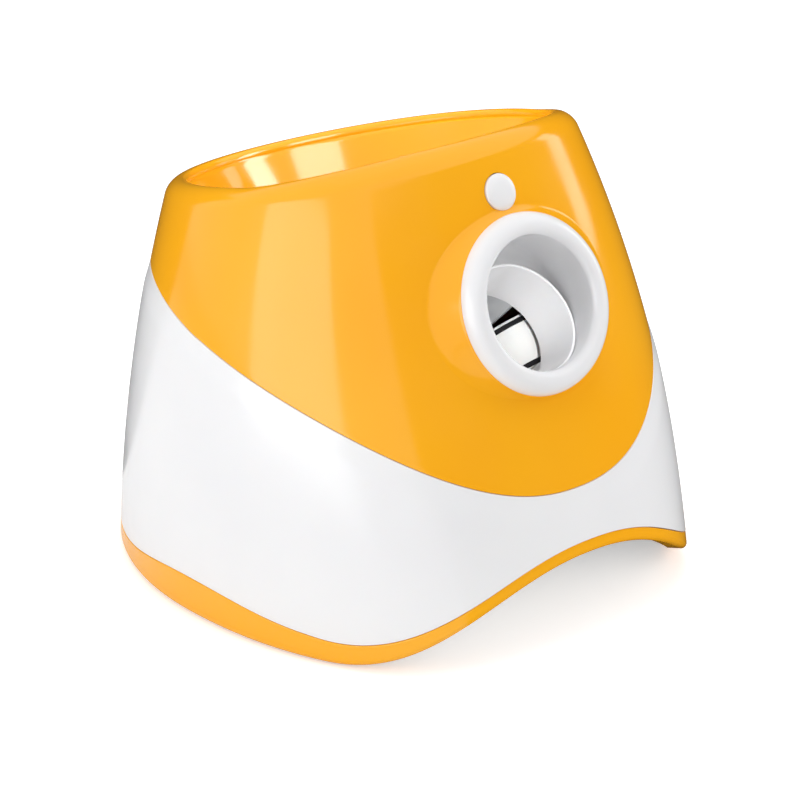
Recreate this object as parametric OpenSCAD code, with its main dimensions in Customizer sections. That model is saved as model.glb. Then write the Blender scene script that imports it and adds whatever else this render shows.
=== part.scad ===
// Automatic ball launcher for a small dog, standing on the floor.
// Z is up, the launch side faces -Y and the case mirrors about X = 0.
// Angles round the case run from the launch side, positive towards +X.

/* [Case outline] */
// Half width of the case at the floor
floor_half_width = 134; // [124:1:144]
// Half width that the case bulges towards at its belly
belly_half_width = 145; // [135:1:155]
// Half width that the case narrows towards at its shoulder
shoulder_half_width = 131; // [122:1:140]
// Half width of the case at the top of its outline
top_half_width = 94; // [88:1:100]
// Reach of the case in front of the centre at the floor
floor_front_reach = 166; // [158:1:174]
// Reach in front at the belly
belly_front_reach = 141; // [134:1:148]
// Reach in front at the shoulder
shoulder_front_reach = 107; // [102:1:112]
// Reach in front at the top of the outline
top_front_reach = 70; // [66:1:76]
// Reach of the case behind the centre at the floor
floor_rear_reach = 155; // [148:1:162]
// Reach behind at the belly
belly_rear_reach = 130; // [124:1:138]
// Reach behind at the shoulder
shoulder_rear_reach = 118; // [112:1:124]
// Reach behind at the top of the outline
top_rear_reach = 111; // [106:1:118]
// Height at which the outline ends
outline_height = 237; // [232:1:242]
// Squareness of the front half of a level section, 2 is an ellipse
front_squareness = 2.2; // [2:0.05:2.4]
// Squareness of the rear half of a level section
rear_squareness = 2.0; // [2:0.05:2.2]

/* [Case seams] */
// Mean height of the bowl rim
rim_mean_height = 215; // [210:1:220]
// How much the rim rises towards the front
rim_rise = 24; // [18:1:28]
// Mean height of the seam between the two shells
seam_mean_height = 132; // [126:1:136]
// How much the seam dips towards the front
seam_dip = 33; // [26:1:37]
// How much the seam fills out at the sides
seam_side_lift = 18.5; // [14:0.5:21]
// Fine shaping of the seam at its two ends
seam_end_shape = 3; // [1:0.5:4]
// Height of the arch under the front
arch_height = 45; // [38:1:48]
// Angle on each side of the front where the arch lands
arch_half_angle = 60; // [54:1:64]
// Height of the base trim at the front
trim_front_height = 8; // [6:0.5:9]
// Height of the base trim round the sides
trim_side_height = 12.5; // [11:0.5:15]
// Extra height of the trim over each side foot
trim_side_lobe = 10.5; // [5:0.5:12]
// Extra height of the trim over each rear foot
trim_rear_lobe = 1; // [0:0.5:4]
// Spread of the trim's lobes in degrees round the case
trim_lobe_spread = 21.5; // [18:0.5:24]
// Gap along the seams between case parts
seam_gap = 0.3; // [0.2:0.05:0.4]

/* [Case walls] */
// Wall of the two shells
shell_wall = 2.5; // [2:0.1:3]
// How far the lower shell swells out under the seam
lower_swell = 1; // [0.4:0.1:1.6]
// Width of the rounded rim crest
crest_width = 7; // [6:0.5:8]
// Height of the rounded rim crest
crest_height = 8; // [7:0.5:9]
// Wall of the hopper bowl
bowl_wall = 2.5; // [2:0.1:3]
// Wall of the base trim
trim_wall = 2.5; // [2:0.1:2.8]
// Width of the lip that the trim folds under the case
trim_lip = 10; // [8:0.5:12]
// Radius of the trim's lower edge
trim_round = 3.5; // [3:0.25:4.5]
// Thickness of the base plate
plate_thickness = 3; // [2.4:0.2:3.6]

/* [Feet] */
// Radius of a rubber foot pad
pad_radius = 11; // [9:0.5:12]
// How far the case stands off the floor on its pads
foot_stand = 1.2; // [1:0.1:1.6]
// Depth of a pad's seat in the base plate
pad_seat_depth = 1; // [0.8:0.1:1.4]
// Sideways place of the front pads
front_pad_x = 96; // [90:1:100]
// Distance of the front pads ahead of the centre
front_pad_y = 62; // [56:1:66]
// Sideways place of the rear pads
rear_pad_x = 70; // [68:1:72]
// Distance of the rear pads ahead of the case's rear end
rear_pad_inset = 58; // [56:1:59]

/* [Launch port] */
// Height of the port centre on the shell
port_height = 162.7; // [158:0.5:166]
// Upward tilt of the port ring
port_tilt = 22.7; // [20:0.1:25]
// Outer radius of the port ring
port_ring_radius = 45; // [43:0.5:47]
// Radius of the mouth inside the ring
mouth_radius = 33.3; // [32.5:0.1:34]
// How far the ring stands proud of the shell
port_proud = 10; // [8:0.5:11]
// How far the shell's collar stands up under the ring
collar_top = 2; // [1:0.5:3]
// Depth of the port cup behind the shell
cup_depth = 30; // [26:1:34]
// Wall of the port cup
cup_wall = 2; // [1.6:0.1:2.4]

/* [Launch tube] */
// Ball that the launcher throws
ball_diameter = 50; // [48:0.5:51]
// Diameter of the launch bore
bore_diameter = 54; // [53:0.5:56]
// Wall of the launch tube
tube_wall = 2.2; // [1.8:0.1:2.6]
// Upward tilt of the launch tube
launch_tilt = 43; // [41:0.5:45]
// How far the muzzle mouth lies behind the port ring's plane
muzzle_set_back = 9.2; // [8:0.2:10]
// How far the muzzle mouth lies below the port centre
muzzle_drop = 6.5; // [5.5:0.1:7]
// Radius of the flared muzzle mouth
muzzle_mouth_radius = 29; // [28.5:0.1:29.5]
// Wall of the muzzle at its mouth
muzzle_rim = 1.4; // [1:0.1:1.8]
// Length of the flare behind the mouth
muzzle_flare = 26; // [24:0.5:27]
// Length of the muzzle piece
muzzle_length = 28; // [27.5:0.5:30]
// Distance from the muzzle mouth to the wheel axes
wheel_station = 62; // [60:0.5:64]
// Distance from the wheel axes to the waiting ball
seat_station = 32; // [30:0.5:34]
// Length of the throat above the launch axis
throat_length = 52; // [50:0.5:56]
// Bore of the throat that feeds the tube
throat_bore = 55; // [54:0.5:57]

/* [Throwing wheels] */
// Radius of a throwing wheel
wheel_radius = 24; // [23:0.5:25]
// Height of a throwing wheel
wheel_height = 28; // [26:0.5:30]
// Squeeze of each wheel into the ball
wheel_squeeze = 3; // [2:0.25:4]
// Height of a rubber band round a wheel
band_height = 2.6; // [2.2:0.1:3]
// Distance from mid height of a wheel to a band
band_offset = 11.4; // [10:0.1:12]
// How far a band stands proud of its wheel
band_proud = 0.8; // [0.5:0.1:1.2]
// Depth of the groove that holds a band
band_groove = 1.4; // [1:0.1:2]
// Clearance round a wheel in its window
window_clearance = 2; // [1.5:0.25:3]
// Radius of a motor shaft
shaft_radius = 1.6; // [1.5:0.05:1.8]
// Running clearance round a shaft
running_clearance = 0.05; // [0.03:0.01:0.08]
// Radius of a throwing motor
motor_radius = 13.8; // [13:0.1:14.2]
// Length of a throwing motor's can
motor_length = 36; // [32:0.5:38]
// Radius of a motor's front bearing boss
motor_boss_radius = 5; // [4.5:0.25:5.5]
// Height of the bearing boss
motor_boss_height = 2.4; // [2:0.2:2.6]
// Thickness of the drive frame
frame_wall = 3; // [2.6:0.2:3.4]

/* [Ball feeder] */
// Radius of the plunger head
plunger_radius = 20; // [18:0.5:22]
// Thickness of the plunger head
plunger_head = 5; // [4:0.5:6]
// Travel of the plunger
plunger_travel = 22; // [18:1:24]
// Side of the square rack bar
rack_side = 10; // [9:0.5:11]
// Module of the rack and its pinion
gear_module = 1; // [0.9:0.05:1.1]
// Teeth of the pinion
pinion_teeth = 16; // [14:1:18]
// Face width of the pinion
pinion_face = 8; // [7:0.5:9]
// Play between the teeth
gear_play = 0.2; // [0.15:0.05:0.3]
// Sliding clearance round the rack bar
slide_clearance = 0.15; // [0.1:0.05:0.25]

/* [Push button] */
// Height of the button on the shell
button_height = 214; // [210:0.5:216]
// Radius of the button cap
button_radius = 9.2; // [8.5:0.1:9.8]
// How far the button stands proud
button_proud = 2.2; // [1.8:0.1:2.8]
// Travel of the button
button_travel = 1.3; // [1:0.1:1.6]
// Gap round the button
button_gap = 0.4; // [0.3:0.05:0.5]

/* [Battery bay] */
// Diameter of a C cell
cell_diameter = 26.2; // [26:0.1:26.4]
// Length of a C cell
cell_length = 50; // [49:0.5:50.5]
// Rows of cells from front to rear
cell_rows = 3; // [2:1:3]
// Wall of the battery tray
tray_wall = 2; // [1.6:0.1:2.4]
// Space round each cell
cell_clearance = 0.5; // [0.4:0.1:0.8]
// Distance of the bay's middle behind the centre
bay_y = 77; // [76:1:80]
// Travel of the battery door
door_travel = 9; // [7:0.5:10]
// Gap round the battery door
door_gap = 0.4; // [0.3:0.05:0.6]

/* [Electronics] */
// Length of the control board
board_length = 62; // [56:1:66]
// Width of the control board
board_width = 42; // [38:1:46]
// Thickness of a circuit board
board_thickness = 1.6; // [1.2:0.1:2]
// Distance of the control board's middle inside the case's left side
board_inset = 52; // [50:1:54]
// Place of the control board from front to rear
board_y = 2; // [-2:1:4]
// Radius of the power inlet's barrel
inlet_radius = 5.5; // [5:0.1:6]
// Height of the power inlet
inlet_height = 34; // [30:1:40]

/* [Hidden] */

around = 72;                      // columns of the case surfaces
step_angle = 360 / around;
$fn = 64;
yellow = "orange";
pale = "whitesmoke";

// ---- outline of the case ----
function blend4(a, b, c, d, t) =
    a * pow(1 - t, 3) + 3 * b * t * pow(1 - t, 2) + 3 * c * t * t * (1 - t) + d * pow(t, 3);
function half_width(z) = blend4(floor_half_width, belly_half_width, shoulder_half_width,
    top_half_width, z / outline_height);
function front_reach(z) = blend4(floor_front_reach, belly_front_reach, shoulder_front_reach,
    top_front_reach, z / outline_height);
function rear_reach(z) = blend4(floor_rear_reach, belly_rear_reach, shoulder_rear_reach,
    top_rear_reach, z / outline_height);
function rounded(v, squareness) = sign(v) * pow(abs(v), 2 / squareness);
function squareness_at(phi) = cos(phi) > 0 ? front_squareness : rear_squareness;
// a point of the case at an angle and a height, moved inwards by inset
function skin(phi, z, inset) = [
    (half_width(z) - inset) * rounded(sin(phi), squareness_at(phi)),
    -(cos(phi) > 0 ? front_reach(z) - inset : rear_reach(z) - inset)
        * rounded(cos(phi), squareness_at(phi)),
    z];

// ---- heights round the case ----
function ease(v) = v <= 0 ? 0 : v >= 1 ? 1 : v * v * (3 - 2 * v);
function bell(v, width) = exp(-pow(v / width, 2));
function wrapped(phi) = abs(phi > 180 ? phi - 360 : phi);
function rim_at(phi) = rim_mean_height + rim_rise * cos(phi) - 1.7 * cos(2 * phi);
function seam_at(phi) = seam_mean_height - seam_dip * cos(phi) - seam_side_lift * cos(2 * phi)
    - seam_end_shape * cos(4 * phi);
function arch_at(phi) = wrapped(phi) < arch_half_angle
    ? arch_height * (1 + cos(180 * wrapped(phi) / arch_half_angle)) / 2 : 0;
function floor_at(phi) = foot_stand + arch_at(phi);
function trim_at(phi) = floor_at(phi) + trim_front_height
    + (trim_side_height - trim_front_height) * ease((wrapped(phi) - 20) / 45)
    + trim_side_lobe * bell(wrapped(phi) - side_foot, trim_lobe_spread)
    + trim_rear_lobe * bell(wrapped(phi) - rear_foot, trim_lobe_spread) - foot_stand;
// angles round the case of the side and the rear feet
side_foot = 90;
rear_foot = 145;

// ---- solids swept round the case ----
// rows[i][j] are closed loops; the last row joins the first, so the solid is a ring
module ring_solid(rows) {
    count = len(rows);
    side = len(rows[0]);
    points = [for (row = rows) for (p = row) p];
    faces = [for (i = [0 : count - 1]) for (j = [0 : side - 1])
        let (up = (i + 1) % count, next = (j + 1) % side)
        for (face = [[i * side + j, up * side + j, up * side + next],
                     [i * side + j, up * side + next, i * side + next]]) face];
    polyhedron(points, faces, convexity = 10);
}
// rows[i][j] are loops; the first and the last are closed by fans to their middles
module capped_solid(rows) {
    count = len(rows);
    side = len(rows[0]);
    low_middle = count * side;
    points = concat([for (row = rows) for (p = row) p], [middle_of(rows[0])],
        [middle_of(rows[count - 1])]);
    walls = [for (i = [0 : count - 2]) for (j = [0 : side - 1])
        let (next = (j + 1) % side)
        for (face = [[i * side + j, (i + 1) * side + j, (i + 1) * side + next],
                     [i * side + j, (i + 1) * side + next, i * side + next]]) face];
    low_cap = [for (j = [0 : side - 1]) [low_middle, j, (j + 1) % side]];
    high_cap = [for (j = [0 : side - 1])
        [low_middle + 1, (count - 1) * side + (j + 1) % side, (count - 1) * side + j]];
    polyhedron(points, concat(walls, low_cap, high_cap), convexity = 10);
}
function middle_of(row) = [for (k = [0 : 2]) sum_of([for (p = row) p[k]]) / len(row)];
function sum_of(v, i = 0) = i < len(v) ? v[i] + sum_of(v, i + 1) : 0;
function loop_of(z_of, inset) = [for (j = [0 : around - 1])
    skin(j * step_angle, z_of(j * step_angle), inset)];

wall_rows = 12;
crest_rows = 4;
function between(low, high, i, n) = low + (high - low) * i / n;
// the space inside the case, inset from its outer surface, for cutting ribs to shape
module case_space(inset) {
    top_gap = crest_height + 4;
    capped_solid([for (i = [0 : wall_rows]) [for (j = [0 : around - 1])
        let (phi = j * step_angle)
        skin(phi, between(arch_height + 8, rim_at(phi) - top_gap, i, wall_rows), inset)]]);
}

// ---- frames ----
port_y = -front_reach(port_height);
module at_port() {
    translate([0, port_y, port_height]) rotate([90 - port_tilt, 0, 0]) children();
}
// the launch frame: Z along the tube towards the mouth, Y up across it
muzzle_y = port_y + muzzle_set_back * cos(port_tilt) - muzzle_drop * sin(port_tilt);
muzzle_z = port_height - muzzle_set_back * sin(port_tilt) - muzzle_drop * cos(port_tilt);
module at_muzzle() {
    translate([0, muzzle_y, muzzle_z]) rotate([90 - launch_tilt, 0, 0]) children();
}
// a cylinder across the launch tube, standing on a point of the launch frame
module across_tube(x, low, high, station, radius) {
    at_muzzle() translate([x, low, -station]) rotate([-90, 0, 0]) cylinder(r = radius, h = high - low);
}
button_y = -front_reach(button_height);
button_tilt = atan((front_reach(button_height - 4) - front_reach(button_height + 4)) / 8);
module at_button() {
    translate([0, button_y, button_height]) rotate([90 - button_tilt, 0, 0]) children();
}

bore_radius = bore_diameter / 2;
tube_radius = bore_radius + tube_wall;
muzzle_outer = muzzle_mouth_radius + muzzle_rim;
ball_station = wheel_station + seat_station;
rest_face = ball_station + ball_diameter / 2 + 0.4;
head_back = rest_face + plunger_head;
tube_end = head_back + 1 + tube_wall;
wheel_x = ball_diameter / 2 - wheel_squeeze + wheel_radius;
motor_face = -(wheel_height / 2 + motor_boss_height + 3.6);
fit_gap = 0.1;
big = 400;

// ---- case parts ----
module upper_shell() {
    rows = concat(
        [for (i = [0 : wall_rows]) [for (j = [0 : around - 1]) let (phi = j * step_angle)
            skin(phi, between(seam_at(phi) + seam_gap / 2, rim_at(phi) - crest_height, i, wall_rows), 0)]],
        [for (i = [1 : crest_rows]) [for (j = [0 : around - 1])
            let (phi = j * step_angle, turn = 90 * i / crest_rows)
            skin(phi, rim_at(phi) - crest_height * (1 - sin(turn)), crest_width * (1 - cos(turn)))]],
        [[for (j = [0 : around - 1]) let (phi = j * step_angle)
            skin(phi, rim_at(phi) - shell_wall, crest_width)]],
        [for (i = [wall_rows - 3 : -3 : 0]) [for (j = [0 : around - 1]) let (phi = j * step_angle)
            skin(phi, between(seam_at(phi) + seam_gap / 2, rim_at(phi) - crest_height, i, wall_rows),
                shell_wall)]]);
    color(yellow) difference() {
        union() {
            ring_solid(rows);
            for (side = [-1, 1]) for (post = case_posts) upper_boss(side * post[0], post[1]);
            button_guide_boss();
            port_collar();
        }
        at_port() translate([0, 0, -big / 8]) cylinder(r = port_hole_radius, h = big / 4);
        at_button() translate([0, 0, -big / 16]) cylinder(r = button_radius + button_gap, h = big / 8);
        for (side = [-1, 1]) for (post = case_posts)
            translate([side * post[0], post[1], 0]) cylinder(r = screw_radius, h = post_top + 10);
        at_button() for (side = [-1, 1]) translate([side * button_screw_x, 0, button_board_top - 1])
            cylinder(r = button_screw_radius, h = 8);
    }
}
// the shell's own collar, which carries the port ring
module port_collar() {
    root = 9;
    difference() {
        at_port() translate([0, 0, -root]) cylinder(r = port_ring_radius, h = root + collar_top);
        case_space(shell_wall / 2);
    }
}
case_posts = [[110, 12], [74, 82]];
post_radius = 4.5;
post_top = 152;
screw_radius = 1.5;
module upper_boss(x, y) {
    rib = 3;
    reach = 26;
    rib_rise = 10;
    intersection() {
        union() {
            translate([x, y, post_top + seam_gap]) cylinder(r = post_radius, h = reach);
            translate([x, y, post_top + seam_gap]) rotate([0, 0, atan2(y, x)])
                translate([0, -rib / 2, rib_rise]) cube([reach, rib, reach - rib_rise]);
        }
        case_space(shell_wall / 2);
    }
}
guide_depth = 9;
guide_wall = 1.6;
switch_height = 2.6;
button_floor = -guide_depth - 0.4;
button_board_top = button_floor - switch_height;
button_screw_x = 11.8;
button_screw_radius = 1.1;
module button_guide_boss() {
    at_button() {
        translate([0, 0, -guide_depth])
            cylinder(r = button_radius + button_gap + guide_wall, h = guide_depth - shell_wall / 2);
        for (side = [-1, 1]) translate([side * button_screw_x, 0, button_board_top])
            cylinder(r = button_screw_radius + 1.5, h = -button_board_top - shell_wall / 2);
    }
}

bowl_rows = 12;
throat_top_y = throat_length;
throat_radius = throat_bore / 2;
// a point of the launch frame in case coordinates
function from_muzzle(x, up, along) = [x,
    muzzle_y + up * sin(launch_tilt) - along * cos(launch_tilt),
    muzzle_z + up * cos(launch_tilt) + along * sin(launch_tilt)];
function throat_loop_point(phi, radius, lift) =
    from_muzzle(radius * sin(phi), throat_length + lift, -ball_station + radius * cos(phi));
bowl_lip = 4;
bowl_slope = 0.22;
bowl_lean = 0.45;
// from the rim (share 0) down to the throat (share 1), along a quarter of an oval that leans in
// from the rim and runs down into the throat
function bowl_point(phi, share, out, lift) =
    let (top = skin(phi, rim_at(phi), crest_width + bowl_lip - out),
         low = throat_loop_point(phi, throat_radius + out, lift),
         bend = 1 - cos(90 * share),
         across = bowl_lean * sin(90 * share) + (1 - bowl_lean) * bend,
         down = (1 - bowl_slope) * sin(90 * share) + bowl_slope * bend)
    [top[0] + (low[0] - top[0]) * across, top[1] + (low[1] - top[1]) * across,
        (top[2] - bowl_lip) + (low[2] - top[2] + bowl_lip) * down];
module hopper_bowl() {
    rim_inset = crest_width + seam_gap;
    // the foot of the wall is flat on the throat's seal
    rows = concat(
        [[for (j = [0 : around - 1]) bowl_point(j * step_angle, 1, 0, 0)]],
        [for (i = [bowl_rows : -1 : 0]) [for (j = [0 : around - 1])
            bowl_point(j * step_angle, i / bowl_rows, bowl_wall, 0)]],
        [[for (j = [0 : around - 1]) let (phi = j * step_angle)
            skin(phi, rim_at(phi) - shell_wall, rim_inset)]],
        [[for (j = [0 : around - 1]) let (phi = j * step_angle) skin(phi, rim_at(phi), rim_inset)]],
        [[for (j = [0 : around - 1]) let (phi = j * step_angle)
            skin(phi, rim_at(phi) - 1.2, rim_inset + 2.4)]],
        [for (i = [0 : bowl_rows]) [for (j = [0 : around - 1])
            bowl_point(j * step_angle, i / bowl_rows, 0, bowl_wall)]]);
    color(yellow) ring_solid(rows);
}

swell_start = 14;
swell_fade = 60;
function swell_at(phi, z) = let (below = seam_at(phi) - z)
    lower_swell * ease(below / swell_start) * bell(below, swell_fade);
module lower_shell() {
    rows = concat(
        [for (i = [0 : wall_rows]) [for (j = [0 : around - 1])
            let (phi = j * step_angle,
                 z = between(trim_at(phi) + seam_gap, seam_at(phi) - seam_gap / 2, i, wall_rows))
            skin(phi, z, -swell_at(phi, z))]],
        [for (i = [wall_rows : -3 : 0]) [for (j = [0 : around - 1])
            let (phi = j * step_angle,
                 z = between(trim_at(phi) + seam_gap, seam_at(phi) - seam_gap / 2, i, wall_rows))
            skin(phi, z, shell_wall)]]);
    color(pale) difference() {
        union() {
            ring_solid(rows);
            translate([0, inlet_face - inlet_boss, inlet_height]) rotate([-90, 0, 0])
                cylinder(r = inlet_radius + 3, h = inlet_boss);
        }
        translate([0, inlet_face - big / 8, inlet_height]) rotate([-90, 0, 0])
            cylinder(r = inlet_radius + fit_gap, h = big / 4);
        translate([0, inlet_face - inlet_flange, inlet_height]) rotate([-90, 0, 0])
            cylinder(r = inlet_radius + 2, h = big / 4);
    }
}
inlet_boss = 9;
inlet_flange = 1.5;
inlet_face = rear_reach(inlet_height) + 2;

module base_trim() {
    rows = concat(
        [for (i = [0 : 4]) [for (j = [0 : around - 1])
            let (phi = j * step_angle, turn = 90 * i / 4)
            skin(phi, floor_at(phi) + trim_round * (1 - sin(turn)), trim_round * (1 - cos(turn)))]],
        [[for (j = [0 : around - 1]) let (phi = j * step_angle) skin(phi, floor_at(phi), trim_lip)]],
        [[for (j = [0 : around - 1]) let (phi = j * step_angle)
            skin(phi, floor_at(phi) + trim_wall, trim_lip)]],
        [[for (j = [0 : around - 1]) let (phi = j * step_angle)
            skin(phi, floor_at(phi) + trim_wall, trim_wall)]],
        [[for (j = [0 : around - 1]) let (phi = j * step_angle) skin(phi, trim_at(phi), trim_wall)]],
        [[for (j = [0 : around - 1]) let (phi = j * step_angle) skin(phi, trim_at(phi), 0)]]);
    // listed from the outside down and back up, so the rows are reversed
    color(yellow) ring_solid([for (i = [len(rows) - 1 : -1 : 0]) rows[i]]);
}

plate_rows = 8;
plate_inset = trim_wall + 0.6;
flat_share = 0.4;
plate_low = foot_stand + trim_wall + seam_gap;
// the underside follows the front arch near its edge and is flat further in
function plate_loop(share, lift) = [for (j = [0 : around - 1])
    let (phi = j * step_angle,
         edge = skin(phi, floor_at(phi) + plate_low - foot_stand + plate_thickness, plate_inset))
    [edge[0] * share, edge[1] * share,
        plate_low + lift + arch_at(phi) * ease((share - flat_share) / (0.92 - flat_share))]];
module base_plate() {
    first_share = 0.28;
    shares = [for (i = [0 : plate_rows]) between(first_share, 1, i, plate_rows)];
    color(pale) difference() {
        union() {
            capped_solid(concat(
                [for (i = [0 : plate_rows]) plate_loop(shares[i], 0)],
                [for (i = [plate_rows : -1 : 0]) plate_loop(shares[i], plate_thickness)]));
            for (side = [-1, 1]) for (post = case_posts)
                translate([side * post[0], post[1], plate_low + plate_thickness / 2])
                    cylinder(r = post_radius, h = post_top - plate_low - plate_thickness / 2);
            for (spot = board_spots) translate([spot[0], spot[1], plate_low + plate_thickness / 2])
                cylinder(r = 3, h = board_low - plate_low - plate_thickness / 2);
        }
        for (side = [-1, 1]) for (post = case_posts)
            translate([side * post[0], post[1], 0]) {
                cylinder(r = screw_radius + fit_gap, h = post_top + 1);
                cylinder(r = screw_head_radius + 0.5, h = plate_low + plate_thickness / 2);
            }
        for (spot = pad_spots) translate([spot[0], spot[1], 0])
            cylinder(r = pad_radius + fit_gap, h = plate_low + pad_seat_depth);
        for (spot = board_spots) translate([spot[0], spot[1], board_low - 7])
            cylinder(r = board_screw_radius, h = 8);
        for (side = [-1, 1]) for (spot = frame_screw_y) translate([side * frame_screw_x, spot, 0])
            cylinder(r = screw_radius, h = leg_low + 1);
        door_cut();
    }
}
screw_head_radius = 2.9;
rear_pad_y = floor_rear_reach - rear_pad_inset;
pad_spots = [[front_pad_x, -front_pad_y], [-front_pad_x, -front_pad_y],
    [rear_pad_x, rear_pad_y], [-rear_pad_x, rear_pad_y]];
module foot_pads() {
    color("dimgray") for (spot = pad_spots) translate([spot[0], spot[1], 0])
        rotate_extrude() polygon([[0, 0], [pad_radius - 1, 0], [pad_radius, 1],
            [pad_radius, plate_low + pad_seat_depth - fit_gap], [0, plate_low + pad_seat_depth - fit_gap]]);
}

// ---- battery bay ----
door_tab = 1.6;
tab_reach = 4;
tab_length = 12;
cell_pitch = cell_diameter + cell_clearance;
tray_inner_x = 2 * cell_length + 14;
tray_inner_y = cell_rows * cell_pitch + cell_clearance;
tray_x = tray_inner_x + 2 * tray_wall;
tray_y = tray_inner_y + 2 * tray_wall;
tray_low = plate_low + plate_thickness + door_tab + 0.8;
tray_high = tray_low + cell_diameter + tray_wall + 1;
door_x = tray_inner_x - 8;
door_y = tray_inner_y - 4;
tab_spots = [-door_y / 3, door_y / 6];
module door_cut() {
    translate([-door_x / 2 - door_gap, bay_y - door_y / 2 - door_gap, 0])
        cube([door_x + 2 * door_gap, door_y + 2 * door_gap + door_travel, 30]);
    for (spot = tab_spots)
        translate([-door_x / 2 - tab_reach - door_gap, bay_y + spot + door_travel - door_gap, 0])
            cube([door_x + 2 * (tab_reach + door_gap), tab_length + 2 * door_gap, 30]);
}
module battery_door() {
    grip_count = 5;
    color(pale) difference() {
        union() {
            translate([-door_x / 2, bay_y - door_y / 2, plate_low])
                cube([door_x, door_y, plate_thickness + 0.3]);
            for (spot = tab_spots)
                translate([-door_x / 2 - tab_reach, bay_y + spot, plate_low + plate_thickness + 0.3])
                    cube([door_x + 2 * tab_reach, tab_length, door_tab - 0.4]);
        }
        for (i = [0 : grip_count - 1])
            translate([-18, bay_y + door_y / 2 - 8 - 3 * i, plate_low - 1]) cube([36, 1.4, 1.8]);
    }
}
module battery_tray() {
    flange = 8;
    color("dimgray") difference() {
        union() {
            translate([-tray_x / 2, bay_y - tray_y / 2, tray_low]) cube([tray_x, tray_y, tray_high - tray_low]);
            for (side = [-1, 1]) for (spot = [-1, 1])
                translate([side * (tray_x / 2 + flange / 2), bay_y + spot * tray_y / 3, plate_low + plate_thickness])
                    cylinder(r = flange / 2 + 0.5, h = tray_low - plate_low - plate_thickness + 4);
        }
        translate([-tray_inner_x / 2, bay_y - tray_inner_y / 2, 0])
            cube([tray_inner_x, tray_inner_y, tray_high - tray_wall]);
        for (side = [-1, 1]) for (spot = [-1, 1])
            translate([side * (tray_x / 2 + flange / 2), bay_y + spot * tray_y / 3, 0])
                cylinder(r = board_screw_radius, h = tray_low + 3);
    }
}
cell_z = tray_high - tray_wall - 0.4 - cell_diameter / 2;
function cell_y(i) = bay_y + (i - (cell_rows - 1) / 2) * cell_pitch;
cell_gap_x = 1.5;
module battery_cells() {
    cap_height = 1.6;
    color("goldenrod") for (side = [0, 1]) for (i = [0 : cell_rows - 1])
        mirror([side, 0, 0]) translate([cell_gap_x, cell_y(i), cell_z]) rotate([0, 90, 0]) {
            cylinder(r = cell_diameter / 2, h = cell_length - cap_height);
            cylinder(r = 3.2, h = cell_length);
        }
}
spring_length = tray_inner_x / 2 - cell_gap_x - cell_length - 1.2;
module battery_springs() {
    wire = 0.8;
    coil = 7;
    color("silver") for (side = [0, 1]) for (i = [0 : cell_rows - 1])
        mirror([side, 0, 0]) translate([cell_gap_x + cell_length + 0.2, cell_y(i), cell_z]) rotate([0, 90, 0])
            difference() {
                cylinder(r1 = coil / 2, r2 = coil, h = spring_length);
                translate([0, 0, -1]) cylinder(r1 = coil / 2 - wire, r2 = coil - wire, h = spring_length + 2);
            }
}
module battery_contacts() {
    end_side = 18;
    end_sheet = 0.8;
    bridge_width = 10;
    bridge_height = 16;
    bridge_gap = 0.3;
    color("silver") for (side = [0, 1]) for (i = [0 : cell_rows - 1]) mirror([side, 0, 0])
        translate([tray_inner_x / 2 - end_sheet - fit_gap, cell_y(i) - end_side / 2, cell_z - end_side / 2])
            cube([end_sheet, end_side, end_side]);
    color("silver") for (i = [0 : cell_rows - 1])
        translate([-cell_gap_x + bridge_gap, cell_y(i) - bridge_width / 2, cell_z - bridge_height / 2])
            cube([2 * (cell_gap_x - bridge_gap), bridge_width, bridge_height]);
}

// ---- port and launch tube ----
port_hole_radius = port_ring_radius - 3;
ring_lip = 4;
module port_bezel() {
    cut_length = 90;
    neck_foot = -6;
    neck = port_hole_radius - seam_gap;
    brow = port_ring_radius - mouth_radius - ring_lip;
    seat = collar_top + seam_gap;
    color(pale) difference() {
        // the ring on its collar, and the cup, whose floor closes round the muzzle
        at_port() rotate_extrude() polygon(concat(
            [[0, -cup_depth], [mouth_radius + cup_wall, -cup_depth],
             [mouth_radius + cup_wall, neck_foot], [neck, neck_foot], [neck, seat]],
            [for (a = [0 : 15 : 90])
                [port_ring_radius - brow * (1 - cos(a)), seat + (port_proud - seat) * sin(a)]],
            [for (a = [105 : 15 : 180])
                [mouth_radius + ring_lip * (1 + cos(a)), port_proud - ring_lip * (1 - sin(a))]],
            [[mouth_radius, cup_wall - cup_depth], [0, cup_wall - cup_depth]]));
        at_muzzle() {
            translate([0, 0, -cut_length]) cylinder(r = tube_radius + seam_gap, h = cut_length);
            translate([0, 0, -muzzle_length])
                cylinder(r1 = tube_radius + seam_gap, r2 = muzzle_outer + seam_gap, h = muzzle_length);
            cylinder(r = muzzle_outer + seam_gap, h = 2.5);
        }
    }
}
module muzzle_tube() {
    mouth_bevel = 0.5;
    color(pale) at_muzzle() rotate_extrude() polygon([
        [muzzle_mouth_radius, 0], [bore_radius, -muzzle_flare], [bore_radius, -muzzle_length],
        [tube_radius, -muzzle_length], [muzzle_outer, -mouth_bevel], [muzzle_outer - mouth_bevel, 0]]);
}
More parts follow.
